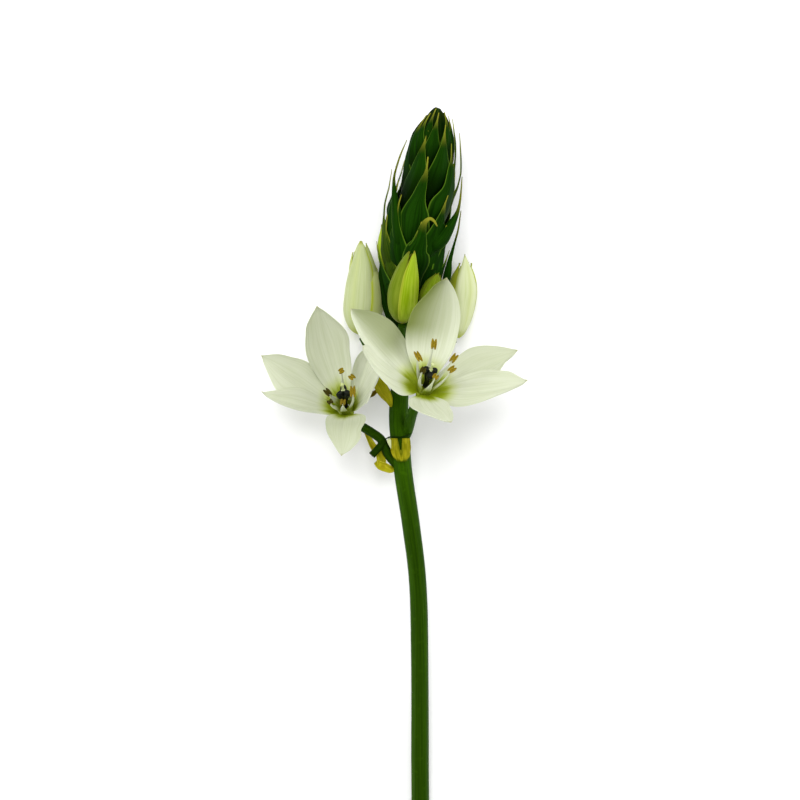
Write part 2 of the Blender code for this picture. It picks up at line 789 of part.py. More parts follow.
def collar_place(t, q):
    """The bract that clasps the front of the stalk, rounded below, with a notch in its upper edge."""
    notch = 0.45 * math.exp(-((q / 0.16) ** 2))
    y = mix(COLLAR_ROOT_Y, COLLAR_TOP_Y, t * (1 - notch))
    row = stem_at(y)
    radius = row.w + COLLAR_GAP + DRY_BRACT_THICKNESS / 2
    half_angle = math.radians(mix(20, 48, math.sin(min(1.0, t * 1.6) * math.pi / 2)))
    angle = q * half_angle
    return at(row.x + radius * math.sin(angle), y, row.z + radius * math.cos(angle))


def build_dry_bracts(parts, scratch):
    """Papery bracts at the nodes of the stalk."""
    papery = blade(
        "papery_bract", lambda t, q: ribbon_place(t, q, PAPERY_BRACT, 0.5), 8, 3, DRY_BRACT_THICKNESS, parts
    )
    olive = blade("olive_bract", lambda t, q: ribbon_place(t, q, OLIVE_BRACT, -0.45), 6, 3, DRY_BRACT_THICKNESS, parts)
    collar = blade("collar_bract", collar_place, 5, 6, DRY_BRACT_THICKNESS, parts)
    others = new_collection("collar_awn", scratch)
    rows = through(AWN_ROUTE, 3)
    tube("awn", [tuple(row) for row in rows], [AWN_RADIUS] * len(rows), 1, others)
    collar.data = evaluated_mesh(collar)
    collar.modifiers.clear()
    collar = fuse("collar_bract", collar, others)
    for piece in (papery, olive, collar):
        finish_piece(piece, piece.name)


def main():
    clear_scene()
    root = bpy.context.scene.collection
    parts = new_collection(NAME, root)
    cutters = new_collection("cutters", root)
    scratch = new_collection("scratch", root)
    cutter = floor_cutter(cutters)
    stem = build_stem(parts, scratch)
    flatten_underside(stem, cutter)
    finish_piece(stem, "stem")
    for flower in FLOWERS:
        build_flower(flower, parts, scratch)
    for name, spec in BUDS.items():
        bud = build_bud(name, spec, parts, scratch)
        if name in ("left_bud", "right_bud"):
            flatten_underside(bud, cutter)
        finish_piece(bud, name)
    head = build_head(parts, scratch)
    flatten_underside(head, cutter)
    finish_piece(head, "bract_head")
    build_dry_bracts(parts, scratch)
    bpy.data.collections.remove(scratch)


main()
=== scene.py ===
# Star of Bethlehem flower, dressed for the picture: a cut raceme that lies on a pale surface.
# Sizes are millimetres unless a line says otherwise. x is to the right, y towards the green tip, z upward.
# Edges and tips that the photograph shows are places in it, 800 across, and lie on curved forms of their own.
import random
from collections import namedtuple
from math import asin, cos, degrees, exp, hypot, pi, radians, sin, sqrt

import bpy
import numpy as np
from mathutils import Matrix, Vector, noise


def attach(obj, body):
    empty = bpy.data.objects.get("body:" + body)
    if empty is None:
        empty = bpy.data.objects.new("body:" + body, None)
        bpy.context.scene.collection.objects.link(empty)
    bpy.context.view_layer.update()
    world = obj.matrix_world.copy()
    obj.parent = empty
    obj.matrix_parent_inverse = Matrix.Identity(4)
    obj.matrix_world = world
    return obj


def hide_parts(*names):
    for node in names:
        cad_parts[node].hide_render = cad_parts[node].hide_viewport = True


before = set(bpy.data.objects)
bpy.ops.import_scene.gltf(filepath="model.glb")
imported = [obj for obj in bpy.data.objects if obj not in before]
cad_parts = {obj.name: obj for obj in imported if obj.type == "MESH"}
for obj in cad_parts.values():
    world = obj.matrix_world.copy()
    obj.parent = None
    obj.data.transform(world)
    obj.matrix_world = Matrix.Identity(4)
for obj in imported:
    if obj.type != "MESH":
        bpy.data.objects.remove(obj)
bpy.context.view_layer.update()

MM = 0.001
UP = Vector((0.0, 0.0, 1.0))
# Places are measured from under the photograph's middle. The origin is here, under the outline's middle.
OUTLINE_MIDDLE = Vector((-1.28, -16.45, 0.0))
CAMERA_HEIGHT = 1200.0
# What one pixel of the photograph is at the surface, and the photograph's middle in pixels.
PIXEL = 0.2
PHOTO_MIDDLE = 400


def at(spot):
    """A place in metres from the frame's origin."""
    return (Vector(spot) - OUTLINE_MIDDLE) * MM


def mix(a, b, share):
    return a + (b - a) * share


def ease(share):
    share = min(1.0, max(0.0, share))
    return share * share * (3 - 2 * share)


def pixel_size(height):
    return PIXEL * (1 - height / CAMERA_HEIGHT)


def ridge(aside, width):
    """1 in the middle, falling to nothing on both sides."""
    return exp(-((aside / width) ** 2))


def in_photo(spot):
    """Where a place given in millimetres is seen in the photograph."""
    scale = pixel_size(spot[2])
    return PHOTO_MIDDLE + spot[0] / scale, PHOTO_MIDDLE - spot[1] / scale


def through(points, steps):
    """Points on a smooth curve through the given rows of numbers, with this many steps between each two."""
    rows = [points[0], *points, points[-1]]
    found = []
    for i in range(1, len(rows) - 2):
        before, start, end, after = (Vector(row) for row in rows[i - 1 : i + 3])
        for step in range(steps):
            u = step / steps
            found.append(
                0.5
                * (
                    2 * start
                    + (end - before) * u
                    + (2 * before - 5 * start + 4 * end - after) * u * u
                    + (3 * start - before - 3 * end + after) * u * u * u
                )
            )
    found.append(Vector(points[-1]))
    return found


def wander(*values):
    """Smooth noise from -1 to 1."""
    return noise.noise(Vector((*values, 0.0, 0.0)[:3]))


# The angle from which an edge is sharp, how thin a blade is at its rim, and how its columns crowd there.
SHARP_FROM = 50
RIM_SHARE = 0.35
COLUMN_BUNCH = 0.8


def put(name, data):
    """A new object in the scene."""
    made = bpy.data.objects.new(name, data)
    bpy.context.scene.collection.objects.link(made)
    return made


class Shell:
    """Gathers the closed forms of one piece in one mesh. Each corner has a map place and three marks:
    a number of its own form, how shaded it is, and how far it has the form's second colour."""

    def __init__(self):
        self.spots = []
        self.faces = []
        self.places = []
        self.marks = []
        self.stuff = []

    def add(self, spots, faces, places, marks, stuff):
        start = len(self.spots)
        self.spots.extend(spots)
        self.faces.extend(tuple(start + corner for corner in face) for face in faces)
        self.places.extend(places)
        self.marks.extend(marks)
        self.stuff.extend([stuff] * len(faces))

    def finish(self, name, node, slot, *looks):
        """Makes the piece, its corners never under the surface, with a material for each kind of stuff."""
        mesh = bpy.data.meshes.new(name)
        mesh.from_pydata([(x, y, max(z, 0.0)) for x, y, z in self.spots], [], self.faces)
        for look in looks:
            mesh.materials.append(MATERIALS[look])
        mesh.polygons.foreach_set("material_index", self.stuff)
        corners = np.empty(len(mesh.loops), dtype=np.int32)
        mesh.loops.foreach_get("vertex_index", corners)
        layer = mesh.uv_layers.new(name="lie")
        layer.data.foreach_set("uv", np.array(self.places, dtype=np.float32)[corners].ravel())
        marks = mesh.color_attributes.new("marks", "FLOAT_COLOR", "POINT")
        colours = np.ones((len(self.spots), 4), dtype=np.float32)
        colours[:, :3] = np.array(self.marks, dtype=np.float32)
        marks.data.foreach_set("color", colours.ravel())
        mesh.shade_smooth()
        mesh.set_sharp_from_angle(angle=radians(SHARP_FROM))
        piece = put(name, mesh)
        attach(piece, "root")
        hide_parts(node)


def even(shade, second=0.0):
    """Marks that are the same all over a form."""
    return lambda t, q: (shade, second)


def sheet(shell, place, grid, thickness, seed, marks, stuff=0, bunch=1.35):
    """A thin closed blade. place(t, q) gives its middle surface in metres, t from root to tip, q from -1 to
    1, and marks(t, q) its shade and second colour. bunch draws its rows together towards the tip."""
    rows, columns = grid
    ts = [1 - (1 - i / rows) ** bunch for i in range(rows + 1)]
    turn = pi / 2 * COLUMN_BUNCH
    qs = [sin(turn * (2 * j / columns - 1)) / sin(turn) for j in range(columns + 1)]
    middles = np.array([[tuple(place(t, q)) for q in qs] for t in ts])
    normal = np.cross(np.gradient(middles, axis=0), np.gradient(middles, axis=1))
    normal = normal / np.maximum(np.linalg.norm(normal, axis=2, keepdims=True), 1e-12)
    thinned = [[mix(1.0, RIM_SHARE, abs(q) ** 5) * mix(1.0, RIM_SHARE, t**10) for q in qs] for t in ts]
    half = (thickness * MM / 2) * np.array(thinned)[:, :, None]
    upper = (middles + normal * half).reshape(-1, 3)
    lower = (middles - normal * half).reshape(-1, 3)
    wide = columns + 1
    count = wide * (rows + 1)
    faces = []
    for i in range(rows):
        for j in range(columns):
            a = i * wide + j
            faces.append((a, a + wide, a + wide + 1, a + 1))
            faces.append((count + a, count + a + 1, count + a + wide + 1, count + a + wide))
    rim = list(range(columns))
    rim += [i * wide + columns for i in range(rows)]
    rim += [rows * wide + columns - j for j in range(columns)]
    rim += [(rows - i) * wide for i in range(rows)]
    for a, b in zip(rim, rim[1:] + rim[:1]):
        faces.append((a, b, count + b, count + a))
    places = [((q + 1) / 2, t) for t in ts for q in qs]
    values = [(seed, *marks(t, q)) for t in ts for q in qs]
    shell.add([*upper, *lower], faces, places * 2, values * 2, stuff)


def closed(shell, place, along, around, seed, marks, stuff=0):
    """A closed form of rings. place(t, angle) gives its skin in metres; its ends close in one point each."""
    spots = []
    places = []
    values = []
    for i in range(along + 1):
        t = i / along
        for j in range(around):
            angle = 2 * pi * j / around
            spots.append(tuple(place(t, angle)))
            places.append((j / around, t))
            values.append((seed, *marks(t, angle)))
    faces = []
    for i in range(along):
        for j in range(around):
            k = (j + 1) % around
            faces.append((i * around + j, i * around + k, (i + 1) * around + k, (i + 1) * around + j))
    for ring, t in ((0, 0.0), (along, 1.0)):
        middle = np.mean(np.array(spots[ring * around : (ring + 1) * around]), axis=0)
        spots.append(tuple(middle))
        places.append((0.5, t))
        values.append((seed, *marks(t, 0.0)))
        last = len(spots) - 1
        for j in range(around):
            a = ring * around + j
            b = ring * around + (j + 1) % around
            faces.append((last, b, a) if ring == 0 else (last, a, b))
    shell.add(spots, faces, places, values, stuff)


def tube(shell, route, steps, around, seed, marks, stuff=0, skin=None):
    """A closed tube along a route of x, y, z and radius. skin(angle, y) changes its radius by a share."""
    rows = through(route, steps)
    last = len(rows) - 1
    ahead = [(rows[min(i + 1, last)].xyz - rows[max(i - 1, 0)].xyz).normalized() for i in range(last + 1)]
    side = ahead[0].cross(UP)
    if side.length < 0.1:
        side = ahead[0].cross(Vector((0.0, 1.0, 0.0)))
    side.normalize()
    sides = []
    for way in ahead:
        side = (side - way * side.dot(way)).normalized()
        sides.append(side.copy())

    def place(t, angle):
        i = round(t * last)
        row = rows[i]
        radius = row.w * (1.0 if skin is None else skin(angle, row.y))
        up = sides[i].cross(ahead[i])
        return at(row.xyz + (sides[i] * sin(angle) + up * cos(angle)) * radius)

    closed(shell, place, last, around, seed, marks, stuff)


def ribbon(shell, route, steps, cup, crinkle, grid, thickness, seed, marks, stuff=0):
    """A loose blade along a route of x, y, z and half width. cup bends it across, crinkle makes it uneven."""
    rows = through(route, steps)

    def place(t, q):
        reached = t * (len(rows) - 1)
        low = min(int(reached), len(rows) - 2)
        row = rows[low].lerp(rows[low + 1], reached - low)
        ahead = (rows[low + 1] - rows[low]).xyz.normalized()
        side = ahead.cross(UP).normalized()
        facing = side.cross(ahead)
        wave = crinkle * (wander(t * 6, q * 2.5, cup * 7) + 0.5 * cos(q * 14))
        return at(row.xyz + side * q * row.w * cos(cup * q) + facing * (cup * q * q * row.w + wave))

    sheet(shell, place, grid, thickness, seed, marks, stuff, 1.0)


# Materials


def new_material(name, roughness, gloss, tint=(1.0, 1.0, 1.0)):
    made = bpy.data.materials.new(name)
    made.use_nodes = True
    tree = made.node_tree
    shader = tree.nodes["Principled BSDF"]
    shader.inputs["Roughness"].default_value = roughness
    shader.inputs["Specular IOR Level"].default_value = gloss
    shader.inputs["Specular Tint"].default_value = (*tint, 1.0)
    return made, tree, shader


def node(tree, kind, output=0, inputs=(), **settings):
    """Adds a node and gives one of its outputs. inputs pairs a socket's name or number with a value."""
    made = tree.nodes.new(kind)
    for key, value in settings.items():
        setattr(made, key, value)
    for key, value in inputs:
        if isinstance(value, bpy.types.NodeSocket):
            tree.links.new(value, made.inputs[key])
        else:
            made.inputs[key].default_value = value
    return made.outputs[output]


def colour(screen):
    """A colour for a socket from three numbers as read off a screen, 0 to 255."""
    return (*(((c / 255 + 0.055) / 1.055) ** 2.4 if c > 10 else c / 3294 for c in screen), 1.0)


def blend(tree, base, *layers):
    """Lays colours over a first one, each by its own share."""
    for share, over in layers:
        inputs = ((0, share), (6, base), (7, over))
        base = node(tree, "ShaderNodeMix", 2, inputs, data_type="RGBA", blend_type="MIX")
    return base


def remap(tree, value, low, high, to_low=0.0, to_high=1.0):
    inputs = ((0, value), (1, low), (2, high), (3, to_low), (4, to_high))
    return node(tree, "ShaderNodeMapRange", 0, inputs, interpolation_type="SMOOTHSTEP")


def maths(tree, operation, *values):
    return node(tree, "ShaderNodeMath", 0, tuple(enumerate(values)), operation=operation)


# The map place, its two numbers, and the three marks of a form, as sockets.
Look = namedtuple("Look", "lie across along seed shade second")


def surface_look(tree):
    lie = node(tree, "ShaderNodeUVMap", 0, (), uv_map="lie")
    parts = tree.nodes.new("ShaderNodeSeparateXYZ")
    tree.links.new(lie, parts.inputs[0])
    marks = node(tree, "ShaderNodeAttribute", 0, (), attribute_name="marks")
    split = tree.nodes.new("ShaderNodeSeparateColor")
    tree.links.new(marks, split.inputs[0])
    return Look(lie, *parts.outputs[:2], *split.outputs[:3])


def streaks(tree, look, across, along, detail=3.0, rough=0.55):
    """Noise drawn out along a blade, another for each seed."""
    moves = ((0, maths(tree, "MULTIPLY", look.seed, 17.0)), (1, maths(tree, "MULTIPLY", look.seed, 5.0)))
    offset = node(tree, "ShaderNodeCombineXYZ", 0, moves)
    inputs = ((0, look.lie), (1, (across, along, 1.0)), (2, offset))
    spot = node(tree, "ShaderNodeVectorMath", 0, inputs, operation="MULTIPLY_ADD")
    inputs = (("Vector", spot), ("Scale", 1.0), ("Detail", detail), ("Roughness", rough))
    return node(tree, "ShaderNodeTexNoise", 0, inputs)


def mottle(tree, scale, detail):
    spot = node(tree, "ShaderNodeTexCoord", 3)
    inputs = (("Vector", spot), ("Scale", scale), ("Detail", detail))
    return node(tree, "ShaderNodeTexNoise", 0, inputs)


def cover(tree, shader, base, height, distance, strength):
    """Gives a shader its base colour and its bumps."""
    tree.links.new(base, shader.inputs["Base Color"])
    inputs = (("Height", height), ("Distance", distance * MM), ("Strength", strength))
    tree.links.new(node(tree, "ShaderNodeBump", 0, inputs), shader.inputs["Normal"])


def leaf_light(tree, shader, tint, share):
    """Lets some of the light through, as a thin petal does."""
    glow = node(tree, "ShaderNodeBsdfTranslucent", 0, (("Color", tint),))
    joined = node(tree, "ShaderNodeMixShader", 0, ((0, share), (1, shader.outputs[0]), (2, glow)))
    tree.links.new(joined, tree.nodes["Material Output"].inputs["Surface"])


# What the greens and the small parts turn to in deep shade, and the tint of the greens' gloss.
GREEN_SHADE = (0.0, 0.004, 0.0, 1.0)
SMALL_SHADE = (0.01, 0.012, 0.0, 1.0)
GREEN_GLOSS = (0.6, 1.0, 0.12)
STALK_GLOSS = (0.6, 1.0, 0.1)


def petal_material(name, colours, thin=0.25, veins=0.6):
    """A petal: veined along, shaded by its marks, with a star and its heart at the foot, and a darker tip."""
    made, tree, shader = new_material(name, 0.55, 0.3)
    light, veined, shaded, star, heart, tip = map(colour, colours)
    look = surface_look(tree)
    lines = streaks(tree, look, 30.0, 1.4)
    broad = streaks(tree, look, 5.0, 1.6, 2.0)
    cells = mottle(tree, 2600.0, 1.0)
    streaked = maths(tree, "MULTIPLY", look.second, remap(tree, lines, 0.25, 0.6, 1.3, 1.0))
    base = blend(
        tree,
        light,
        (remap(tree, lines, 0.42, 0.66, 0.0, veins), veined),
        (remap(tree, broad, 0.45, 0.75, 0.0, 0.4), veined),
        (look.shade, shaded),
        (node(tree, "ShaderNodeClamp", 0, ((0, streaked),)), star),
        (remap(tree, streaked, 0.5, 1.35), heart),
        (remap(tree, look.along, 0.965, 0.995, 0.0, 0.6), tip),
    )
    height = maths(tree, "ADD", lines, maths(tree, "MULTIPLY", cells, 0.35))
    cover(tree, shader, base, height, 0.04, veins * 0.7)
    leaf_light(tree, shader, base, thin)
    return made


def green_material(name, colours, edge_from, gloss, rough=0.5):
    """A bract or sepal: streaked along, with lighter edges and a second colour where its marks ask for it."""
    made, tree, shader = new_material(name, rough, gloss, GREEN_GLOSS)
    dark, lit, edge, second = map(colour, colours)
    look = surface_look(tree)
    lines = streaks(tree, look, 26.0, 2.0)
    broad = streaks(tree, look, 4.0, 2.5, 2.0)
    aside = maths(tree, "MULTIPLY", maths(tree, "SUBTRACT", look.across, 0.5), 2.0)
    base = blend(
        tree,
        dark,
        (remap(tree, lines, 0.35, 0.68, 0.0, 0.7), lit),
        (remap(tree, broad, 0.5, 0.8, 0.0, 0.6), lit),
        (remap(tree, maths(tree, "ABSOLUTE", aside), edge_from, 1.0, 0.0, 0.7), edge),
        (look.second, second),
        (look.shade, GREEN_SHADE),
    )
    cover(tree, shader, base, lines, 0.06, 0.5)
    return made


def small_material(name, colours, scale, rough, gloss, depth):
    """A small part with grain of its own: two colours by noise, darkened by its shade mark."""
    made, tree, shader = new_material(name, rough, gloss)
    first, second = map(colour, colours)
    grain = mottle(tree, scale, 3.0)
    shade = surface_look(tree).shade
    base = blend(tree, first, (remap(tree, grain, 0.4, 0.62), second), (shade, SMALL_SHADE))
    cover(tree, shader, base, grain, depth, 0.8)
    return made


def stalk_material(name, colours):
    """The stalk: fine and coarse streaks along it, with lighter spots."""
    made, tree, shader = new_material(name, 0.55, 0.07, STALK_GLOSS)
    dark, lit = map(colour, colours)
    look = surface_look(tree)
    lines = streaks(tree, look, 34.0, 9.0, 4.0, 0.6)
    fine = streaks(tree, look, 90.0, 26.0, 2.0, 0.6)
    spots = mottle(tree, 900.0, 3.0)
    base = blend(
        tree,
        dark,
        (remap(tree, lines, 0.3, 0.75, 0.1, 0.9), lit),
        (remap(tree, spots, 0.55, 0.75, 0.0, 0.5), lit),
        (look.shade, GREEN_SHADE),
    )
    cover(tree, shader, base, maths(tree, "ADD", lines, maths(tree, "MULTIPLY", fine, 0.4)), 0.05, 0.5)
    return made


# Colours as read off a screen, 0 to 255.
MATERIALS = {
    "petal": petal_material(
        "petal_white",
        ((224, 228, 207), (207, 213, 183), (128, 140, 72), (178, 192, 26), (126, 144, 0), (170, 170, 112)),
    ),
    "pale_bud": petal_material(
        "bud_pale",
        ((206, 213, 168), (178, 190, 124), (110, 128, 40), (168, 180, 44), (164, 176, 36), (120, 120, 50)),
        0.12,
        0.4,
    ),
    "bract": green_material(
        "bract_green", ((5, 32, 1), (20, 58, 3), (88, 122, 30), (132, 132, 38)), 0.84, 0.05, 0.6
    ),
    "olive": green_material(
        "bract_olive", ((24, 48, 3), (64, 82, 9), (112, 124, 34), (136, 138, 48)), 0.84, 0.05, 0.6
    ),
    "green_bud": green_material(
        "bud_green", ((122, 148, 12), (160, 180, 54), (176, 190, 74), (120, 112, 26)), 0.88, 0.12
    ),
    "dry": green_material(
        "bract_dry", ((136, 134, 10), (190, 182, 40), (174, 166, 46), (116, 92, 8)), 0.8, 0.1, 0.6
    ),
    "collar": green_material(
        "bract_collar", ((122, 120, 6), (172, 164, 32), (156, 148, 36), (40, 68, 2)), 0.8, 0.08, 0.6
    ),
    "anther": small_material("anther_dust", ((158, 136, 30), (106, 88, 8)), 9000.0, 0.85, 0.1, 0.08),
    "ovary": small_material("ovary_dark", ((5, 8, 4), (16, 22, 8)), 1500.0, 0.4, 0.14, 0.02),
    "style": small_material("style_pale", ((196, 204, 150), (166, 178, 110)), 2000.0, 0.5, 0.3, 0.02),
    "stalk": stalk_material("stalk_green", ((26, 56, 1), (52, 88, 4))),
}

# Stalk

# Its routes, as in the frame: x, y, z and radius.
STEM_ROUTE = (
    (4.2, -91.2, 1.62, 1.76), (4, -75, 2.4, 1.74), (3.9, -50, 3.62, 1.72), (3.5, -36, 4.27, 1.72),
    (2.2, -25, 4.79, 1.76), (0.7, -15, 5.25, 1.8), (0, -8, 5.58, 1.92), (-0.3, -2, 5.86, 1.9),
    (0.3, 6, 6.23, 1.6), (1.2, 12, 6.5, 1.45), (1.7, 16, 6.7, 1.35),
)
SIDE_STALKS = (
    (
        (-0.4, -13, 5.3, 1), (-2.3, -10.9, 5.5, 0.95), (-3.7, -8, 5.8, 0.9), (-5.6, -6.5, 6.2, 0.9),
        (-7.9, -5.1, 6.3, 0.9), (-9.5, -4.2, 6.4, 0.9), (-10.15, -3.55, 6.7, 1), (-10.35, -3, 7.5, 1.15),
    ),
    (
        (0.3, -8.6, 5.6, 1.05), (1.4, -6.2, 6.7, 1.1), (1.95, -4.3, 8.6, 1.08), (2.5, -2.4, 11, 1.02),
        (3.4, -0.55, 13.1, 0.95), (4, 0.4, 14.2, 1), (4.26, 0.95, 15, 1.15),
    ),
    (
        (-0.8, -1.2, 5.9, 1), (-2.5, 1, 5.6, 0.95), (-4.1, 4.2, 5, 0.85), (-5.9, 9.4, 4.2, 0.85),
        (-7.3, 12.6, 3.75, 0.95),
    ),
    (
        (0.4, 1.2, 6, 0.9), (3.2, 3.6, 5.4, 0.75), (6.6, 7.2, 4.2, 0.65), (9, 10.1, 3.2, 0.65),
        (10.8, 12, 2.72, 0.7),
    ),
    ((0.5, 7, 6.3, 0.9), (0.6, 11, 7.6, 0.75), (0.4, 13.6, 9.5, 0.75), (0.4, 14.9, 10.7, 0.85)),
    ((1.5, 13.4, 6.6, 0.8), (3.1, 15.2, 8.7, 0.6), (4.5, 17, 10.9, 0.65)),
    ((-3.2, -8.2, 6, 0.75), (-4.3, -9.6, 6.5, 0.72), (-5.6, -11, 6.8, 0.72)),
)
# How shaded each side stalk is.
SIDE_SHADES = (0.5, 0.0, 0.2, 0.2, 0.3, 0.3, 0.72)


def build_stem():
    shell = Shell()

    def skin(angle, y):
        ridges = 0.018 * sin(9 * angle + 1.5 * sin(y * 0.05)) + 0.01 * sin(17 * angle)
        return 1.0 + ridges + 0.02 * wander(y * 0.08, sin(angle), 3.0)

    def marks(t, angle):
        # Painted shade: the stalk is darker towards its cut end, most along its top.
        upper = ridge(sin(angle / 2), 0.3)
        return ease((0.55 - t) / 0.15) * (0.22 + 0.3 * upper), 0.0

    tube(shell, STEM_ROUTE, 14, 64, 0.1, marks, skin=skin)
    for index, (shade, route) in enumerate(zip(SIDE_SHADES, SIDE_STALKS)):
        tube(shell, route, 10, 28, 0.2 + 0.1 * index, even(shade), skin=skin)
    shell.finish("stalk_dressed", "stem", "stem", "stalk")


# Open flowers

# Where the photograph shows the two edges of each tepal, the side towards growing azimuth first.
RIGHT_EDGES = (
    (
        ((440, 280), (432, 289), (422, 298), (414, 308), (409, 320), (406, 333), (406, 345), (409, 358)),
        ((450, 281), (454, 290), (459, 305), (460, 320), (458, 333), (451, 355)),
    ),
    (
        ((351, 316), (356, 328), (362, 341), (375, 354), (390, 367)),
        ((360, 309.5), (372, 311), (383, 316), (393, 323), (400, 332), (406, 341)),
    ),
    (
        ((361, 352), (370, 364), (380, 377), (390, 388), (400, 395)),
        ((366, 345), (375, 354), (390, 367), (404, 377)),
    ),
    (
        ((453, 417), (450, 408), (447, 402)),
        ((408.5, 399), (409, 402), (412, 408), (420, 414), (430, 419), (440, 422)),
    ),
    (
        ((520, 377), (512, 372), (501, 371), (480, 370), (460, 377)),
        ((515, 388), (500, 394), (485, 400), (470, 405), (455, 407)),
    ),
    (((508, 348), (495, 346), (480, 346), (468, 349)), ((511, 357), (505, 362), (501, 370))),
)
LEFT_EDGES = (
    (
        ((312, 311), (309, 319), (306.5, 332), (305.5, 345), (307, 357)),
        ((325, 309), (335, 317), (343, 327), (349, 350)),
    ),
    (((264, 365), (271, 380), (275, 388)), ((275, 354), (290, 357), (309, 363))),
    (((267, 400), (285, 406), (315, 413)), ((275, 391), (300, 387))),
    (((350, 450), (360, 430), (365, 415)), ((333, 443), (326, 425), (328, 415))),
    (((367, 361), (363, 375), (359, 388), (356, 400)), ((379, 376), (371.5, 390), (367, 400), (362, 411))),
    (((360, 353), (355, 362), (352, 372), (351, 380)), ()),
)
UNSHADED = (0.0, 0.0, 0.0, 1.0)
# Angles are degrees. A flower's axis points out of it, and azimuths go round that axis from the right.
# Tepals: azimuth, angle from the axis, length, half width, bow, and how far each of its two sides folds up.
# Shades: painted shade on the tepals that lie in shadow or have leaves or buds close behind them, which let
# less light through. How much darker each looks, towards which edge, and from where to where along it.
# Stamens: azimuth of the root; azimuth, angle from the axis and distance of the tip; heading, half length and
# darkness of the anther.
FLOWERS = {
    "right_flower": {
        "first_seed": 0.0,
        "centre": (4.73, 1.97, 16.5),
        "axis": (0.25, 0.55, 0.80),
        "tepals": (
            (89, 44, 23, 5.3, 1.6, 0.5, 0.75),
            (152, 63, 22.6, 4.6, 1.2, 0.75, 0.6),
            (189, 48, 22.6, 4.7, 1.8, 0.4, 0.75),
            (275, 50, 23, 4.7, 0.2, 0.6, 0.2),
            (341, 48, 24, 4.7, 1.6, 0.75, 0.4),
            (372, 51, 20.8, 5, 1.4, 0.75, 0.7),
        ),
        "edges": RIGHT_EDGES,
        "shades": (
            (1.1, 0.45, 0.25, 1.15),
            (0.75, -1, 0.2, 1.15),
            UNSHADED,
            (0.2, 0, 0.2, 1.2),
            (0.2, 0, 0.1, 1.2),
            (0.42, 0, 0.1, 1.2),
        ),
        "stamens": (
            (150, 186, 20, 12.3, -72, 1.55, 0),
            (90, 107, 16, 11.9, 88, 1.2, 0),
            (30, 8, 15, 11.9, 58, 1.15, 0),
            (-30, -45, 17, 12.4, 40, 0.95, 0),
            (-90, -98, 22, 12.3, 56, 0.6, 0),
            (-150, -134, 22, 11.8, 70, 0.8, 1),
        ),
    },
    "left_flower": {
        "first_seed": 0.05,
        "centre": (-10.72, -1.98, 9.0),
        "axis": (-0.20, 0.55, 0.81),
        "tepals": (
            (99, 36, 22.6, 4.5, 1.5, 0.65, 0.75),
            (161, 45, 21.2, 4.3, 1.2, 0.3, 0.7),
            (199, 42, 21.7, 4.4, 0.9, 0.5, 0.75),
            (275, 59, 22, 3.8, -1.5, 0.1, 0.75),
            (352, 36, 17, 3.9, 0.6, 0.3, 0.3),
            (45, 46, 15.5, 3.7, 2, 0.75, 0.75),
        ),
        "edges": LEFT_EDGES,
        "shades": (
            (0.34, 0, 0.1, 1.2),
            (0.15, -0.5, 0.1, 1.2),
            (0.2, 0, 0.1, 1.2),
            (0.55, 0, 0.15, 1.2),
            UNSHADED,
            (0.5, 0, 0.55, 1.3),
        ),
        "stamens": (
            (150, 192, 16, 7.8, -58, 1.35, 1),
            (90, 54, 12, 11.2, 20, 0.6, 0),
            (30, 6.5, 18, 11.1, -52, 0.9, 0),
            (-30, -39, 24, 11.2, 88, 1.25, 0),
            (-90, -73, 27, 10.6, 75, 0.7, 0.5),
            (-150, -110, 24, 9.6, -60, 0.7, 1),
        ),
    },
}
# Radius of the ring that the stamens stand on, how far up it is, and the part of a filament under it.
STAMEN_RING = 1.62
STAMEN_RISE = 2.2
STAMEN_FOOT = 0.12


def flower_turn(name):
    """The flower's centre and the three ways of its own frame, with its axis last."""
    spec = FLOWERS[name]
    axis = Vector(spec["axis"]).normalized()
    right = (Vector((1.0, 0.0, 0.0)) - axis * axis.x).normalized()
    return Vector(spec["centre"]), right, axis.cross(right), axis


def from_flower(turn, spot):
    centre, right, up, axis = turn
    return centre + right * spot[0] + up * spot[1] + axis * spot[2]


def tepal_half(t, half_width):
    """Half the width at t: a narrow root, widest past the middle, a pointed tip."""
    wave = sin(pi * min(1.0, t) ** 1.233)
    share = max(0.0, wave) ** (0.55 if t < 0.57 else 1.0)
    return max(0.1, 0.2 * half_width * (1 - t), half_width * share)


def tepal_spot(t, s, spec):
    """A place on a tepal, in its flower's frame. s is how far aside it is, in half widths."""
    azimuth, spread, length, half_width, bow, fold_ccw, fold_cw = spec
    azimuth, spread = radians(azimuth), radians(spread)
    radial = Vector((cos(azimuth), sin(azimuth), 0.0))
    side = Vector((-sin(azimuth), cos(azimuth), 0.0))
    along = radial * sin(spread) + UP * cos(spread)
    outward = radial * cos(spread) - UP * sin(spread)
    middle = radial * 1.2 * (1 - t) + along * length * t + outward * bow * 4 * t * (1 - t)
    tangent = (along * length + outward * bow * 4 * (1 - 2 * t)).normalized()
    inward = tangent.cross(side)
    half = tepal_half(t, half_width)
    fold = mix(fold_cw, fold_ccw, ease(s + 0.5))
    bend = fold * s
    offset = side * sin(bend) / fold + inward * (1 - cos(bend)) / fold
    return middle + offset * half, inward


def find_on(form, target, t, s):
    """The t and s at which a form is seen at a place in the photograph."""
    step = 0.004
    for _ in range(25):
        u, v = in_photo(form(t, s))
        miss = np.array((target[0] - u, target[1] - v))
        ut, vt = in_photo(form(t + step, s))
        us, vs = in_photo(form(t, s + step))
        slopes = np.array(((ut - u, us - u), (vt - v, vs - v))) / step
        change = slopes.T @ np.linalg.solve(slopes @ slopes.T + np.eye(2) * 4.0, miss)
        t = min(0.97, max(0.03, t + max(-0.15, min(0.15, change[0]))))
        s = max(-1.9, min(1.9, s + max(-0.4, min(0.4, change[1]))))
    u, v = in_photo(form(t, s))
    return t, s, hypot(target[0] - u, target[1] - v)


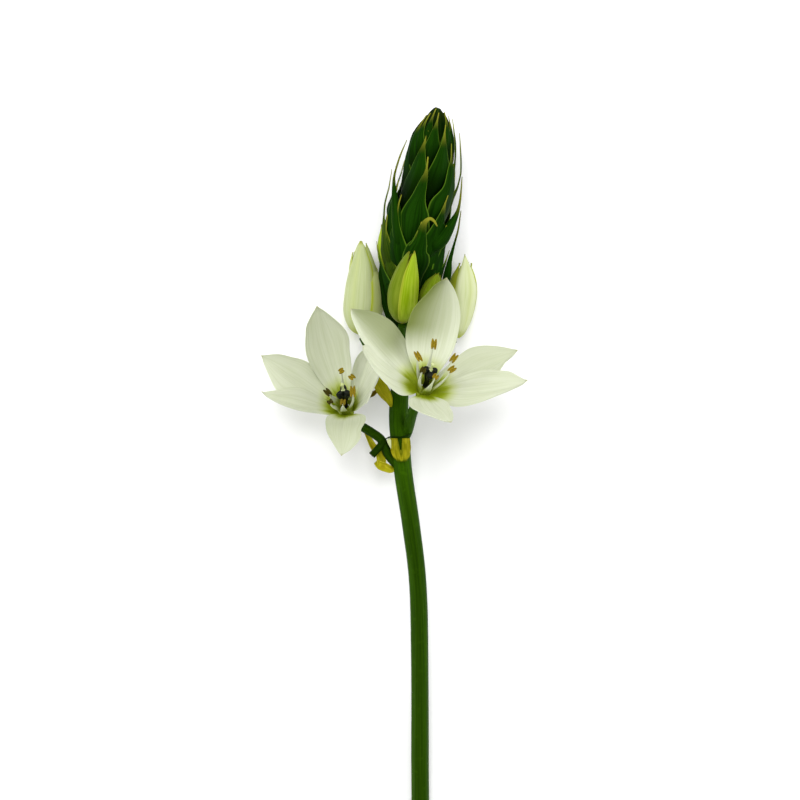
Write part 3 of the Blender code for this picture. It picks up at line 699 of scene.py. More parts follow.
def edge_rule(form, spots, sign):
    """A rule of t for how far aside a blade's edge lies, in half widths, from where the photograph has it."""
    found = []
    for spot in spots:
        t, s, miss = find_on(form, spot, 0.6, 0.6 * sign)
        if miss < 1.5 and s * sign > 0.05:
            found.append((t, s * sign))
    found.sort()
    if not found:
        return lambda t: 1.0
    ts = np.array([-0.4, *(t for t, _ in found), 1.4])
    ss = np.array([1.0, *(s for _, s in found), found[-1][1]])

    def share(t):
        """The mean of the places found near t, the nearer ones with more weight."""
        total = 0.0
        weight = 0.0
        for step in range(-3, 4):
            near = ridge(step, 2)
            total += near * float(np.interp(t + step * 0.025, ts, ss))
            weight += near
        return total / weight

    return share


def edged(form, edges):
    """A rule of t and q for how far aside a blade lies, with both of its edges as the photograph has them."""
    rules = [edge_rule(form, spots, side) for spots, side in zip(edges, (1, -1))]

    def aside(t, q):
        return q * mix(1.0, rules[0 if q > 0 else 1](t), min(1.0, abs(q) * 1.5))

    return aside


def add_tepal(shell, turn, spec, edges, shading, seed):
    aside = edged(lambda t, s: from_flower(turn, tepal_spot(t, s, spec)[0]), edges)

    def place(t, q):
        spot, inward = tepal_spot(t, aside(t, q), spec)
        body = sin(pi * min(1.0, t * 1.05)) if t < 0.95 else 0.16 * (1 - t) / 0.05
        groove = -0.16 * ridge(q, 0.07) + 0.05 * ridge(abs(q) - 0.22, 0.1)
        veins = 0.022 * cos(q * 38.0 + 0.6 * sin(5 * t))
        waves = 0.28 * q * q * wander(t * 3.2, 2.0 * (1 if q > 0 else -1), seed * 40)
        lift = body * (groove + veins) + waves * ease(t * 2)
        hood = 0.35 * ease((t - 0.9) / 0.1) ** 2
        return at(from_flower(turn, spot + inward * (lift + hood)))

    def marks(t, q):
        amount, side, from_t, to_t = shading
        # Painted shade, as the tepal's shades give it, with none in the star at its foot.
        shade = amount * ease(0.5 + 0.8 * side * q) * ease((t - from_t) / 0.3) * ease((to_t - t) / 0.25)
        star = ease((0.3 - 0.05 * q * q + 0.03 * wander(q * 3, seed * 30) - t) / 0.2)
        return shade * (1 - star), star

    sheet(shell, place, (64, 32), 0.34, seed, marks)


def build_tepals(name):
    spec = FLOWERS[name]
    turn = flower_turn(name)
    shell = Shell()
    for index, parts in enumerate(zip(spec["tepals"], spec["edges"], spec["shades"])):
        add_tepal(shell, turn, *parts, 0.13 + 0.11 * index + spec["first_seed"])

    def receptacle(t, angle):
        ring = 1.35 * sin(pi * t) * (1 + 0.05 * cos(6 * angle))
        height = max(0.75 - 1.65 * (1 + cos(pi * t)), -1.45)
        return at(from_flower(turn, (ring * cos(angle), ring * sin(angle), height)))

    closed(shell, receptacle, 18, 36, 0.5, even(0.0, 1.0))
    shell.finish(name + "_petals_dressed", name + "_tepals", "tepals", "petal")


def add_anther(shell, turn, tip, heading, half_length, dark, seed):
    """Two sacs side by side, each with a split along it."""
    long_way = Vector((cos(heading), sin(heading), 0.25)).normalized()
    wide_way = long_way.cross(UP).normalized()
    deep_way = wide_way.cross(long_way)

    def sac(t, angle, lobe):
        ring = sin(pi * min(1.0, max(0.0, t))) ** 0.55
        bend = 4 * (t - 0.5) ** 2
        spot = tip + long_way * half_length * (2 * t - 1) + wide_way * lobe * (0.27 + 0.07 * bend)
        split = 1 - 0.28 * ridge(cos(angle) - 1, 0.12)
        rough = 1 + 0.1 * wander(t * 9, sin(angle) * 2, lobe * 3.0 + tip.x)
        wide = wide_way * 0.32 * ring * sin(angle) * rough
        deep = deep_way * 0.36 * ring * cos(angle) * split * rough
        return at(from_flower(turn, spot + wide + deep))

    def marks(t, angle):
        return max(0.9 * dark, 0.6 * ease((0.6 - abs(sin(angle))) / 0.5)), 0.0

    closed(shell, lambda t, angle: sac(t, angle, -1), 20, 16, seed, marks, 1)
    closed(shell, lambda t, angle: sac(t, angle, 1), 20, 16, seed, marks, 1)


def add_stamen(shell, turn, index, spec):
    """A flat filament that bows outward and narrows upward, with its anther."""
    root_azimuth, azimuth, spread, heading = (radians(spec[i]) for i in (0, 1, 2, 4))
    length, half_length, dark = spec[3], spec[5], spec[6]
    outward = Vector((cos(root_azimuth), sin(root_azimuth), 0.0))
    side = Vector((-outward.y, outward.x, 0.0))
    foot = Vector((outward.x * 1.3, outward.y * 1.3, 0.7))
    root = Vector((STAMEN_RING * cos(root_azimuth), STAMEN_RING * sin(root_azimuth), STAMEN_RISE))
    flat = length * sin(spread)
    tip = Vector((flat * cos(azimuth), flat * sin(azimuth), length * cos(spread)))

    def middle(t):
        if t < STAMEN_FOOT:
            return foot.lerp(root, t / STAMEN_FOOT)
        share = (t - STAMEN_FOOT) / (1 - STAMEN_FOOT)
        return root.lerp(tip, share) + outward * 0.35 * 4 * share * (1 - share)

    def filament(t, angle):
        wide = mix(0.78, 0.15, ease(t * 1.25))
        deep = mix(0.3, 0.13, t)
        ahead = (middle(min(1.0, t + 0.02)) - middle(max(0.0, t - 0.02))).normalized()
        deep_way = ahead.cross(side).normalized()
        spot = middle(t) + side * wide * sin(angle) + deep_way * deep * cos(angle)
        return at(from_flower(turn, spot))

    closed(shell, filament, 26, 16, 0.3 + 0.07 * index, lambda t, a: (0.0, 0.9 * ease((0.4 - t) / 0.35)))
    add_anther(shell, turn, tip, heading, half_length, dark, 0.4 + 0.05 * index)


def build_stamens(name):
    shell = Shell()
    for index, spec in enumerate(FLOWERS[name]["stamens"]):
        add_stamen(shell, flower_turn(name), index, spec)
    shell.finish(name + "_stamens_dressed", name + "_stamens", "stamens", "petal", "anther")


# Radius and height of the style and then the ovary, from the top down.
PISTIL_OUTLINE = (
    (0, 9.2), (0.36, 9), (0.26, 8.4), (0.32, 7.2), (0.95, 6.85), (1.36, 6.3), (1.22, 5.6), (0.78, 4.5),
    (0.52, 3), (0.5, 1.3), (0, 1.25),
)
# The height under which the pistil is dark.
SHOULDER = 7.15


def build_pistil(name, first_lobe, lean):
    """A dark ovary of three lobes under a short pale style with three stigma lobes."""
    turn = flower_turn(name)
    shell = Shell()
    rows = through(PISTIL_OUTLINE, 6)

    def skin(t, angle, low, high):
        row = rows[round(mix(low, high, t))]
        radius = max(0.0, row[0])
        height = row[1]
        lobes = cos(3 * (angle - first_lobe))
        crease = abs(cos(1.5 * (angle - first_lobe)))
        share = ease((height - 1.5) / 3.5) * ease((7.4 - height) / 0.5)
        radius *= 1 + share * (0.2 * lobes - 0.4 * (1 - crease**0.5)) if height < 7.4 else 1 + 0.12 * lobes
        height += 0.25 * lobes * ease((height - 5.0) / 1.5) * ease((7.2 - height) / 0.5)
        aside = lean * height
        return at(from_flower(turn, (radius * cos(angle) + aside, radius * sin(angle), height)))

    last = len(rows) - 1
    shoulder = next(i for i, row in enumerate(rows) if row[1] < SHOULDER)
    closed(shell, lambda t, a: skin(t, a, last, shoulder), last - shoulder, 48, 0.2, even(0.0))
    closed(shell, lambda t, a: skin(t, a, shoulder, 0), shoulder, 24, 0.2, even(0.0), 1)
    shell.finish(name + "_pistil_dressed", name + "_pistil", "pistil", "ovary", "style")


# Buds

# Root, tip, largest radius, where along it the bud is widest, sideways bend, first tepal's azimuth, and the
# width of its end as a share of that radius.
BUDS = {
    "left_bud": ((-8.0, 13.2, 3.55), (-7.6, 31.7, 4.05), 3.95, 0.33, 0.7, -31, 0.26),
    "right_bud": ((11.4, 12.4, 2.6), (13.0, 28.9, 2.8), 2.85, 0.55, 0.2, 35, 0.1),
    "centre_bud": ((0.3, 15.4, 11.2), (2.4, 29.4, 17.5), 3.05, 0.36, -0.5, 52, 0.26),
    "small_right_bud": ((4.8, 17.5, 11.6), (8.0, 25.8, 14.5), 2.15, 0.40, 0.0, 12, 0.2),
}
PEEKING_BUD = ((-2.4, 25.4, 6.4), (-3.3, 34.9, 8.2), 1.7, 0.4, 0.0, 0, 0.15)
NOT_OLIVE = (0.0, 0.0, 0.0, 0.0, 0.0, 0.0)
# How much painted shade and how olive each tepal is, three outer ones and then three inner ones, and how
# green their rims. In a plain bud only the inner ones, which lie under the outer ones, get painted shade; the
# others have it tepal by tepal, more on a bud's darker side. On the right bud the olive is partly the tepals'
# own colour and partly stands in for light let through them.
PLAIN_BUD = ((0.0, 0.0, 0.0, 0.3, 0.3, 0.3), NOT_OLIVE, 0.5)
BUD_SHADES = {
    "left_bud": ((0.34, 0.12, 0.38, 0.36, 0.36, 0.34), (0.0, 0.4, 0.0, 0.3, 0.3, 0.3), 0.95),
    "right_bud": ((0.0, 0.0, 0.0, 0.0, 0.1, 0.0), (0.0, 0.0, 0.95, 0.9, 0.9, 0.95), 0.5),
    "centre_bud": ((0.0, 0.2, 0.52, 0.3, 0.4, 0.5), NOT_OLIVE, 0.5),
    "small_right_bud": ((0.55, 0.55, 0.55, 0.6, 0.6, 0.6), NOT_OLIVE, 0.5),
}
# Where the photograph shows the tip of each tepal.
BUD_TIPS = {
    "left_bud": ((361, 241), (367.5, 257), (357, 248), (366, 243), (371, 258), (353, 252)),
    "right_bud": ((465, 254), (468, 262), (460, 263), (471.5, 263), (466, 262), (461, 266)),
    "centre_bud": ((414.5, 251), (412, 254), (409.5, 251.5), (414, 256), (411, 255), (411, 260)),
    "small_right_bud": ((438.5, 273), (440, 275), (436, 273.5), (438, 276), (438, 276), (437, 276)),
}


def bud_outline(t, widest, blunt):
    if t < widest:
        return sqrt(max(0.0, 1 - (1 - t / widest) ** 2))
    return 1 - (1 - blunt) * ((t - widest) / (1 - widest)) ** 1.75


def bud_spot(t, angle, reach, spec):
    root, tip, _, _, bend = spec[:5]
    line = Vector(tip) - Vector(root)
    right = line.cross(UP).normalized()
    facing = right.cross(line).normalized()
    middle = Vector(root) + line * t + right * bend * 4 * t * (1 - t)
    return middle + right * reach * sin(angle) + facing * reach * cos(angle)


def add_bud_tepal(shell, spec, index, goal, dark, olive, rims, stuff, grid):
    radius, widest, first, blunt = spec[2], spec[3], spec[5], spec[6]
    outer = index < 3
    azimuth = radians((index % 3) * 120.0 + (0.0 if outer else 60.0) + first)
    half_angle, inset = (66.0, 0.1) if outer else (40.0, 0.45)
    seed = 0.17 * index + radius * 0.1

    def plain(t, q):
        reach = max(radius * bud_outline(t, widest, blunt) - inset, 0.36 - 0.08 * q)
        narrow = 1 - 0.4 * ease((t - 0.6) / 0.4) ** 2 - 0.35 * ease((t - 0.93) / 0.07)
        angle = azimuth + q * radians(half_angle) * narrow
        keel = 0.1 * ridge(q, 0.13) * sin(pi * t)
        veins = 0.008 * cos(q * 30.0) * sin(pi * t)
        lap = -0.08 * q * ease(t * 4)
        wave = 0.08 * wander(t * 4, q * 2, seed * 20)
        return bud_spot(t, angle, reach + lap + keel + veins + wave * ease(t * 5), spec)

    end = plain(1.0, 0.0)
    u, v = in_photo(end)
    scale = pixel_size(end.z)
    shift = Vector(((goal[0] - u) * scale, (v - goal[1]) * scale, 0.0)) if goal else Vector()

    def place(t, q):
        along = t**1.3
        return at(plain(along, q) + shift * ease((along - 0.45) / 0.55) ** 1.3)

    def marks(t, q):
        foot = ease((0.22 - t) / 0.2)
        rim = rims * ease((abs(q) - 0.74) / 0.26) * ease(t * 3)
        keel = 0.2 * ridge(q, 0.14)
        second = max(0.75 * foot, keel, rim, 0.9 * ease((t - 0.95) / 0.05), olive)
        # The shade mark is the tepal's painted shade, or more towards the foot, which is darker and greener.
        return max(0.4 * foot, dark), second

    sheet(shell, place, grid, 0.3, seed, marks, stuff, 1.15)


def add_bud(shell, spec, tips=(None,) * 6, shades=PLAIN_BUD, stuff=0, grid=(52, 26)):
    """Six closed tepals on a core that fills the bud."""
    radius, widest, blunt = spec[2], spec[3], spec[6]

    def core(t, angle):
        reach = max(0.0, radius * bud_outline(t * 0.9, widest, blunt) - 0.45) if 0 < t < 1 else 0.0
        return at(bud_spot(0.03 + 0.85 * t, angle, reach, spec))

    # The core shows only between the tepals, and has a little painted shade.
    closed(shell, core, 16, 24, 0.9, even(0.2, 0.5), stuff)
    painted_shades, olives, rims = shades
    for index, (goal, dark, olive) in enumerate(zip(tips, painted_shades, olives)):
        add_bud_tepal(shell, spec, index, goal, dark, olive, rims, stuff, grid)


def build_bud(name):
    shell = Shell()
    add_bud(shell, BUDS[name], BUD_TIPS[name], BUD_SHADES[name])
    if name in ("left_bud", "right_bud"):
        shell.finish(name + "_dressed", name, "pale_buds", "pale_bud")
    else:
        shell.finish(name + "_dressed", name, "green_buds", "green_bud")


# Head of bracts

# y, x and z of the middle, radius, and how much wider it is at its right and left.
HEAD_SECTIONS = (
    (16.3, 1.75, 6.72, 1.9, 0), (19, 2.1, 6.85, 2.6, 2), (22, 2.35, 6.95, 3.3, 2.5),
    (24, 2.45, 7, 4.4, 2), (26.5, 2.5, 7.05, 5.9, 1.4), (30, 2.6, 7.1, 7, 0.4), (35, 3.4, 7.15, 7.15, 0),
    (39, 4.2, 7.3, 6.8, 0), (42, 5.2, 7.45, 6, 0), (45, 5.8, 7.6, 5.5, 0), (49, 6.05, 7.75, 5.2, 0),
    (53, 6.5, 8, 4, 0), (56.2, 7.15, 8.1, 2.7, 0), (57.4, 7.4, 8.15, 1.7, 0), (58, 7.6, 8.15, 0.8, 0),
)
# The core's share of the head's radius, how thick the bracts are, and how far along they reach the outside.
CORE_SHARE = 0.66
SKIN = 0.62
BRACT_WIDEST = 0.4
# y and angle of the root, x and y of the tip, the tip's distance from the middle, half width, lift, and from
# where along it only a thin awn is left. Those of the crown, which are blunt, have -1 there.
SEEN_BRACTS = (
    (20.5, 8, 4.35, 35.2, 8.1, 2.9, 0.3, 1),
    (26, -9, 5.55, 48.1, 6, 3.1, 0.5, 0.97),
    (31, 42, 10.3, 50.8, 5.3, 3.1, 0.3, 0.95),
    (24, 34, 9.6, 40.5, 7, 2.8, 0.2, 1),
    (20.5, 62, 9.9, 33.5, 7.3, 2.5, 0, 1),
    (20.5, -50, -1.8, 45.8, 7.9, 2.8, 0.4, 0.72),
    (27, -64, -0.4, 43.5, 6.9, 2.3, 0, 1),
    (34, -46, 5.55, 53.3, 4.6, 2.9, 0.3, 1),
    (35, 12, 9.1, 54.5, 4.5, 2.8, 0.8, 1),
    (42, -5, 7.7, 56.9, 3.1, 2, 1, 1),
    (41, -62, 5.15, 56.5, 3.2, 2, 1, 1),
    (43.5, -38, 5.95, 56.9, 2.8, 1.8, 1, 1),
    (45, -15, 7.15, 57.8, 1.7, 1.6, 1.1, 1),
    (37, 74, 10.5, 55.7, 4.1, 2.3, 0.9, 0.62),
    (31, 82, 11.9, 53, 5.8, 2.4, 0.6, 0.62),
    (43, 38, 8.9, 57.1, 2.6, 1.8, 1.1, 1),
    (42.5, 68, 9.7, 56.3, 3.1, 1.9, 0.7, 1),
    (38, -80, 3, 53.5, 4.2, 2.5, 0.4, 0.9),
    (32, -84, 0.8, 47.6, 5.4, 2.8, 0.2, 0.8),
    (16.8, -76, -4.75, 31.5, 7.7, 2.6, 0, 0.9),
    (18, -56, -2.6, 36.7, 7.7, 2.8, 0.2, 0.8),
    (16.9, 76, 9.9, 29.7, 7.6, 2.7, 0, 1),
    (20.5, 46, 9.3, 34.6, 7.5, 2.3, 0, 1),
    (22, -30, 0.2, 40.6, 7.2, 2.7, 0.3, 0.9),
    (45, -82, 5.9, 57, 1.8, 1.8, 0.9, -1),
    (46, -45, 6.5, 57.3, 1.3, 1.8, 0.6, -1),
    (47, 0, 7.6, 57.5, 1, 1.8, 0.5, -1),
    (46, 45, 8.3, 57.3, 1.4, 1.8, 0.6, -1),
    (45, 82, 8.8, 57, 1.8, 1.8, 0.7, -1),
)
# Edges of some of them as the photo shows: the side towards growing angle, then the other.
BRACT_EDGES = {
    0: (
        ((427, 235), (428, 247), (431, 260), (424, 273)),
        ((416, 232), (414, 240), (409, 245), (401, 253)),
    ),
    1: (
        ((428, 165), (426, 190), (426, 205), (429, 215), (430, 232)),
        ((424, 165), (418, 183), (411, 197), (403, 207), (400, 215), (401, 228), (403, 240)),
    ),
    2: (
        ((453, 165), (455, 190), (455, 200), (451, 213)),
        ((448, 168), (446, 182), (440, 192), (430, 201)),
    ),
}
# The front bract, which lies over the others and whose tip curls.
CURLED_BRACT = (
    (2.5, 21.5, 12, 1.2), (2.6, 24.6, 12.9, 2.1), (3.1, 27.4, 13.8, 2.95), (3.15, 29.3, 14.1, 2.5),
    (3.8, 31, 14.4, 1.65), (4.2, 32.8, 14.8, 1.05), (4.6, 34.4, 15.1, 0.66), (5.15, 35.35, 15.3, 0.44),
    (5.95, 35.8, 15.4, 0.32), (6.75, 35.3, 15.3, 0.24), (7.35, 34.3, 15.1, 0.08),
)
# Bracts that stand off the head: the one at the right with its long awn, a thin dark awn under it, and one at
# the left.
FREE_BRACTS = (
    (
        (5.9, 29.4, 12.2, 0.9), (6.9, 30.6, 12.9, 1.6), (8.3, 32, 12.6, 1.7), (9.6, 33.9, 11.7, 1.3),
        (10.6, 35.6, 11, 0.8), (11.5, 37.6, 10.5, 0.36), (12, 40.3, 10, 0.18), (12.3, 44.3, 9.9, 0.07),
    ),
    (
        (9, 22.8, 9, 0.9), (9.5, 25.3, 9.4, 0.85), (9.9, 27.7, 9.3, 0.5), (10.7, 30.7, 9.2, 0.22),
        (11.5, 33.7, 9.2, 0.15), (12.1, 37.6, 9.2, 0.06),
    ),
    (
        (0.3, 30, 12.9, 1), (-0.2, 31.8, 13.2, 1.2), (-0.5, 34.7, 13.1, 1.25), (-0.7, 37.3, 12.9, 1.1),
        (-1, 39.7, 12.5, 0.75), (-1.2, 42.3, 12.1, 0.4), (-1.05, 44.7, 11.8, 0.2), (0, 48.3, 11.4, 0.15),
        (1.4, 51.6, 11.1, 0.06),
    ),
)
# Small bracts at the foot of the head, behind the buds, in painted shade that is darkest at their roots.
BASAL_BRACTS = (
    (
        (-0.4, 13.6, 7.4, 0.8), (-1.4, 16.6, 6.6, 1.5), (-2.5, 20.5, 6.2, 1.6), (-3.1, 25, 6.3, 1.3),
        (-3.4, 30, 6.8, 0.2),
    ),
    (
        (2.2, 14.6, 7.4, 0.8), (3.6, 17.4, 7, 1.6), (4.6, 21, 7, 1.9), (6.2, 25, 7, 1.6),
        (7.4, 29, 7.4, 0.3),
    ),
)
# The ones that are more olive than green.
OLIVE_BRACTS = (5, 13, 14, 20)
# The ones of which the photo shows deep hollows round their lower halves.
DEEP_BRACTS = (7, 8, 9, 10, 11, 12, 15, 16, 17)


def head_section(y):
    for low, high in zip(HEAD_SECTIONS, HEAD_SECTIONS[1:]):
        if y <= high[0]:
            share = max(0.0, (y - low[0]) / (high[0] - low[0]))
            return tuple(mix(a, b, share) for a, b in zip(low[1:], high[1:]))
    return HEAD_SECTIONS[-1][1:]


def head_radius(y, angle):
    _, _, radius, sideways = head_section(y)
    return radius + sideways * sin(angle) ** 4 * min(1.0, 1 + cos(angle))


def head_spot(y, angle, radius):
    middle_x, middle_z, _, _ = head_section(y)
    return Vector((middle_x + radius * sin(angle), y, middle_z + radius * cos(angle)))


def bract_width(t, awn):
    if awn < 0:
        return 0.9 * (1 - t**2.4) ** 0.7 + 0.1
    t = min(1.0, t / awn)
    if t < 0.5:
        return 0.8 + 0.2 * sin(pi * t)
    return (1 - (t - 0.5) / 0.5) ** 1.6


def bract_spot(t, s, spec):
    root_y, root_angle, tip_y, tip_angle, tip_radius, half_width, lift, awn = spec
    y = mix(root_y, tip_y, t)
    middle_angle = radians(mix(root_angle, tip_angle, t))
    outside_angle = radians(mix(root_angle, tip_angle, BRACT_WIDEST))
    outside = head_radius(mix(root_y, tip_y, BRACT_WIDEST), outside_angle) - SKIN / 2
    inside = head_section(root_y)[2] * CORE_SHARE * 0.7
    if t < BRACT_WIDEST:
        radius = mix(inside, outside, sin(t / BRACT_WIDEST * pi / 2))
    else:
        share = (t - BRACT_WIDEST) / (1 - BRACT_WIDEST)
        radius = mix(outside, tip_radius, share) + lift * sin(pi * share)
    width = bract_width(t, awn)
    half = max(mix(0.26, 0.1, ease((t - 0.7) / 0.3)), half_width * width)
    angle = middle_angle + s * min(half / max(radius, 0.8), radians(75))
    if t < BRACT_WIDEST:
        radius = min(radius, head_radius(y, angle) - SKIN / 2)
    keel = 0.22 * ridge(s, 0.16) * ease((t - 0.15) / 0.3) * width
    return head_spot(y, angle, radius - 0.3 * s * s * width + keel)


def seen_bracts():
    """The bracts of the photograph, each with the angle of its tip worked out from where it is seen."""
    found = []
    for root_y, root_angle, tip_x, tip_y, tip_radius, half_width, lift, awn in SEEN_BRACTS:
        aside = (tip_x - head_section(tip_y)[0]) / tip_radius
        tip_angle = degrees(asin(max(-1.0, min(1.0, aside))))
        found.append((root_y, root_angle, tip_y, tip_angle, tip_radius, half_width, lift, awn))
    return found


def under_bracts():
    """The bracts of the underside, in rows that overlap."""
    draw = random.Random(11)
    found = []
    for row in range(7):
        for angle in (125, 180, 235) if row % 2 else (152, 208):
            root_y = 17.5 + 4.2 * row + draw.uniform(-0.5, 0.5)
            tip_y = min(root_y + 17.0 * (1 - 0.03 * row), 57.5)
            root_angle = angle + draw.uniform(-6, 6)
            tip_angle = mix(root_angle, 180, -0.05)
            tip_radius = head_section(tip_y)[2] + 0.35
            found.append((root_y, root_angle, tip_y, tip_angle, tip_radius, 3.0 - 0.16 * row, 0.0, 1.0))
    return found


def add_bract(shell, index, spec):
    seed = 0.07 + 0.057 * index
    crown = spec[7] < 0
    aside = edged(lambda t, s: bract_spot(t, s, spec), BRACT_EDGES.get(index, ((), ())))

    def place(t, q):
        spot = bract_spot(t, aside(t, q), spec)
        middle_x, middle_z, _, _ = head_section(spot.y)
        out = (spot - Vector((middle_x, spot.y, middle_z))).normalized()
        wave = 0.12 * q * q * wander(t * 3, 1.5 * (1 if q > 0 else -1), seed * 30)
        return at(spot + out * (wave - 0.12))

    def marks(t, q):
        # Painted shade on the lower part of a bract, where the bracts over it shade it: deeper and reaching
        # higher on the deep ones, and all over the blunt ones of the crown. The tip has the second colour.
        second = 0.85 * ease((t - 0.75) / 0.25)
        if crown:
            return 0.75, second * 0.15
        if index in DEEP_BRACTS:
            return 0.97 * ease((0.68 - t) / 0.36), second
        return 0.85 * ease((0.5 - t) / 0.5), second

    grid = (48, 18) if index < len(SEEN_BRACTS) else (32, 12)
    sheet(shell, place, grid, 0.26, seed, marks, 1 if index in OLIVE_BRACTS else 0)


# Painted shade at the roots of the curled and free blades, where they lie under other parts, and the second
# colour towards their tips.
def curled_marks(t, q):
    return 0.6 * ease((0.3 - t) / 0.2), 0.85 * ease((t - 0.5) / 0.3)


# Painted shade all along the basal bracts, most at their roots.
def basal_marks(t, q):
    return 0.8 - 0.5 * t, 0.0


def free_marks(t, q):
    return 0.7 * ease((0.25 - t) / 0.3), 0.55 * ease((t - 0.6) / 0.3)


def build_head():
    shell = Shell()
    core = [(row[1], row[0], row[2], max(0.3, row[3] * CORE_SHARE)) for row in HEAD_SECTIONS]
    # The core shows only between the bracts and has strong painted shade, so the hollows there look near
    # black.
    tube(shell, core, 3, 32, 0.05, even(0.75))
    for index, spec in enumerate((*seen_bracts(), *under_bracts())):
        add_bract(shell, index, spec)
    ribbon(shell, CURLED_BRACT, 8, -0.38, 0.03, (72, 16), 0.28, 0.4, curled_marks)
    for index, route in enumerate(BASAL_BRACTS):
        ribbon(shell, route, 8, -0.5, 0.04, (32, 14), 0.28, 0.7 + 0.1 * index, basal_marks)
    for index, route in enumerate(FREE_BRACTS):
        ribbon(shell, route, 8, -0.55, 0.04, (56, 14), 0.26, 0.37 + 0.1 * index, free_marks)
    add_bud(shell, PEEKING_BUD, stuff=2, grid=(36, 18))
    shell.finish("bract_head_dressed", "bract_head", "head_bracts", "bract", "olive", "green_bud")


# Dry bracts at the nodes of the stalk

PAPERY_BRACT = (
    (
        (-7, -6.2, 5, 0.2), (-6.2, -7.6, 4.9, 0.55), (-5.2, -9.4, 4.7, 0.8), (-4.1, -10.6, 4.9, 0.95),
        (-3.7, -12.2, 4.9, 1.05), (-3.6, -13.4, 4.7, 0.9),
    ),
    (
        (-4.8, -12.3, 4.9, 0.55), (-3.9, -13, 5.2, 1), (-2.7, -13.5, 5.3, 1), (-1.8, -13.8, 5.1, 0.8),
        (-1.1, -13.4, 4.8, 0.5),
    ),
)
OLIVE_BRACT = (
    (
        (-1.7, -1.3, 7.1, 0.3), (-2.3, 0.2, 7.7, 0.95), (-3.45, 2, 7.8, 1.35), (-4.4, 4, 7.5, 1.2),
        (-4.7, 6.3, 6.9, 0.4),
    ),
    ((-4.3, 2.2, 7.3, 0.2), (-5, 1.5, 6.9, 0.4), (-5.6, 1.1, 6.7, 0.5), (-6.3, 0.5, 6.6, 0.15)),
)
# The collar bract clasps the stalk between two heights. A thin awn and a pale scale lie on the stalk over it.
COLLAR_ROOT_Y = -12.3
COLLAR_TOP_Y = -7.6
COLLAR_GAP = 0.36
PALE_SCALE = (
    (-1.75, -9.6, 6.9, 0.1), (-2, -8.8, 7, 0.3), (-2.2, -8, 7, 0.42), (-2.4, -7.7, 6.9, 0.1),
)
AWN_ROUTE = (
    (2.1, -6.6, 7.3, 0.18), (1.4, -7.05, 8, 0.18), (0.2, -7.4, 8.25, 0.19), (-1, -7.3, 8, 0.19),
    (-1.95, -7.35, 7.35, 0.16), (-3.1, -7.8, 7, 0.1),
)


def stem_at(y):
    rows = through(STEM_ROUTE, 6)
    for low, high in zip(rows, rows[1:]):
        if low.y <= y <= high.y:
            return low.lerp(high, (y - low.y) / (high.y - low.y))
    return rows[-1]


def collar_spot(t, q):
    notch = 0.5 * exp(-((q / 0.13) ** 4))
    y = mix(COLLAR_ROOT_Y + 1.3 * q**4, COLLAR_TOP_Y, t * (1 - notch))
    row = stem_at(y)
    radius = row.w + COLLAR_GAP + 0.07 * wander(t * 5, q * 3, 1.0) + 0.05 * cos(q * 16)
    angle = q * radians(mix(44, 66, sin(min(1.0, t * 2.2) * pi / 2)))
    return Vector((row.x + radius * sin(angle), y, row.z + radius * cos(angle)))


def collar_marks(t, q):
    slot = 0.55 * ridge(q, 0.22) * ease((t - 0.3) / 0.4)
    return 0.14, max(0.95 * ease((0.2 - t) / 0.2), 0.6 * ease((abs(q) - 0.86) / 0.14), slot)


def build_collar():
    shell = Shell()
    sheet(shell, lambda t, q: at(collar_spot(t, q)), (34, 44), 0.3, 0.8, collar_marks, 0, 1.0)
    tube(shell, AWN_ROUTE, 6, 12, 0.4, even(0.55), 1)
    ribbon(shell, PALE_SCALE, 6, 0.3, 0.02, (16, 8), 0.25, 0.2, even(0.0), 2)
    shell.finish("collar_bract_dressed", "collar_bract", "dry_bracts", "collar", "bract", "pale_bud")


def dry_marks(worn_share, brown):
    """Marks of a dry blade: worn places by noise, and how brown the whole of it is."""

    def marks(t, q):
        worn = 0.6 * ease((wander(t * 4, q * 2, 9.0) - 0.1) / 0.3)
        return max(0.2 * ease((0.2 - t) / 0.2), 0.4 * brown), max(worn * worn_share, brown)

    return marks


def build_dry_bract(name, routes, browns, cup, worn_share, first_seed):
    shell = Shell()
    for index, (route, brown) in enumerate(zip(routes, browns)):
        marks = dry_marks(worn_share, brown)
        ribbon(shell, route, 12, cup, 0.07, (40, 16), 0.3, first_seed + 0.1 * index, marks)
    shell.finish(name + "_dressed", name, "dry_bracts", "dry")


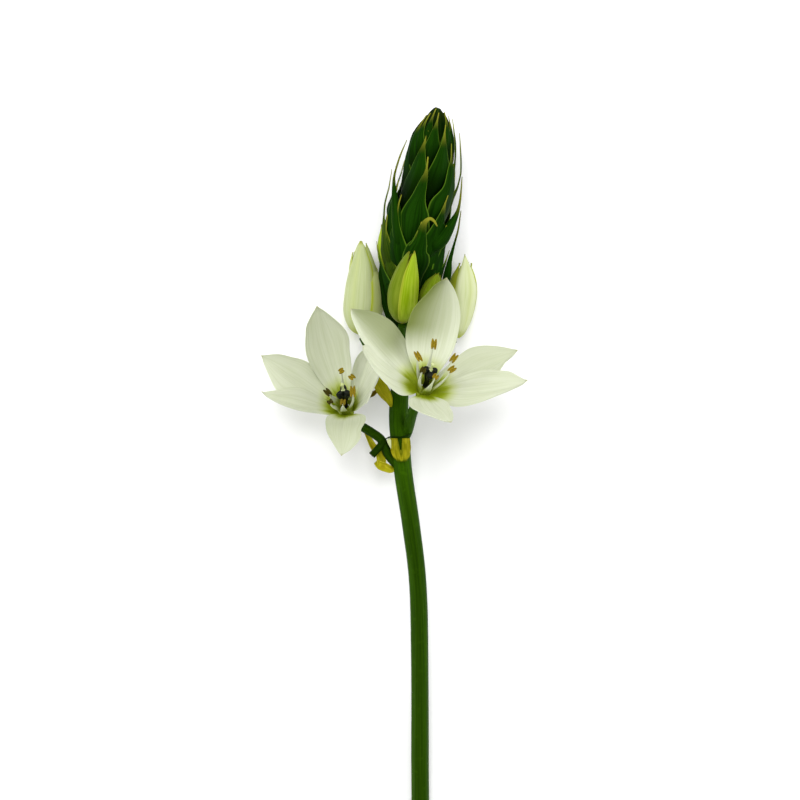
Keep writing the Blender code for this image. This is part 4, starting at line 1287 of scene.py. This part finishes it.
build_stem()
for flower, first_lobe, lean in (("right_flower", 0.5, -0.06), ("left_flower", 1.6, 0.13)):
    build_tepals(flower)
    build_stamens(flower)
    build_pistil(flower, first_lobe, lean)
for bud in BUDS:
    build_bud(bud)
build_head()
build_dry_bract("papery_bract", PAPERY_BRACT, (0.0, 0.0), 0.6, 0.6, 0.3)
build_dry_bract("olive_bract", OLIVE_BRACT, (0.0, 0.9), -0.45, 0.25, 0.6)
build_collar()


# Surface, light and camera, in metres

FLOOR_HALF = 3.0
# Name, place, size and power of each light. All of them point at the flowers.
PANELS = (
    ("left_panel", (-0.72, 0.16, 0.50), 0.6, 3.6),
    ("right_panel", (0.72, 0.20, 0.50), 0.6, 3.6),
    ("overhead", (-0.04, 0.34, 0.80), 0.5, 4.2),
)
LIT_SPOT = Vector((0.0, 0.02, 0.0))


def build_floor():
    mesh = bpy.data.meshes.new("floor")
    corners = [(x * FLOOR_HALF, y * FLOOR_HALF, 0.0) for x, y in ((-1, -1), (1, -1), (1, 1), (-1, 1))]
    mesh.from_pydata(corners, [], [(0, 1, 2, 3)])
    floor = put("floor", mesh)
    made, _, shader = new_material("floor_pale", 0.9, 0.0)
    shader.inputs["Base Color"].default_value = (0.93, 0.93, 0.93, 1.0)
    mesh.materials.append(made)


def area_light(name, spot, size, power):
    data = bpy.data.lights.new(name, "AREA")
    data.shape = "DISK"
    data.size = size
    data.energy = power
    light = put(name, data)
    light.location = spot
    light.rotation_euler = (LIT_SPOT - Vector(spot)).to_track_quat("-Z", "Y").to_euler()


def build_light():
    scene = bpy.context.scene
    world = bpy.data.worlds.new("studio")
    world.use_nodes = True
    sky = world.node_tree.nodes["Background"]
    sky.inputs["Color"].default_value = (1.0, 1.0, 1.0, 1.0)
    sky.inputs["Strength"].default_value = 0.62
    scene.world = world
    for panel in PANELS:
        area_light(*panel)
    scene.view_settings.view_transform = "Standard"
    scene.view_settings.look = "None"


def build_camera():
    data = bpy.data.cameras.new("camera")
    data.lens = 270.0
    data.sensor_width = 36.0
    data.clip_start = 0.05
    data.clip_end = 20.0
    camera = put("camera", data)
    camera.location = (-OUTLINE_MIDDLE.x * MM, -OUTLINE_MIDDLE.y * MM, CAMERA_HEIGHT * MM)
    bpy.context.scene.camera = camera


build_floor()
build_light()
build_camera()
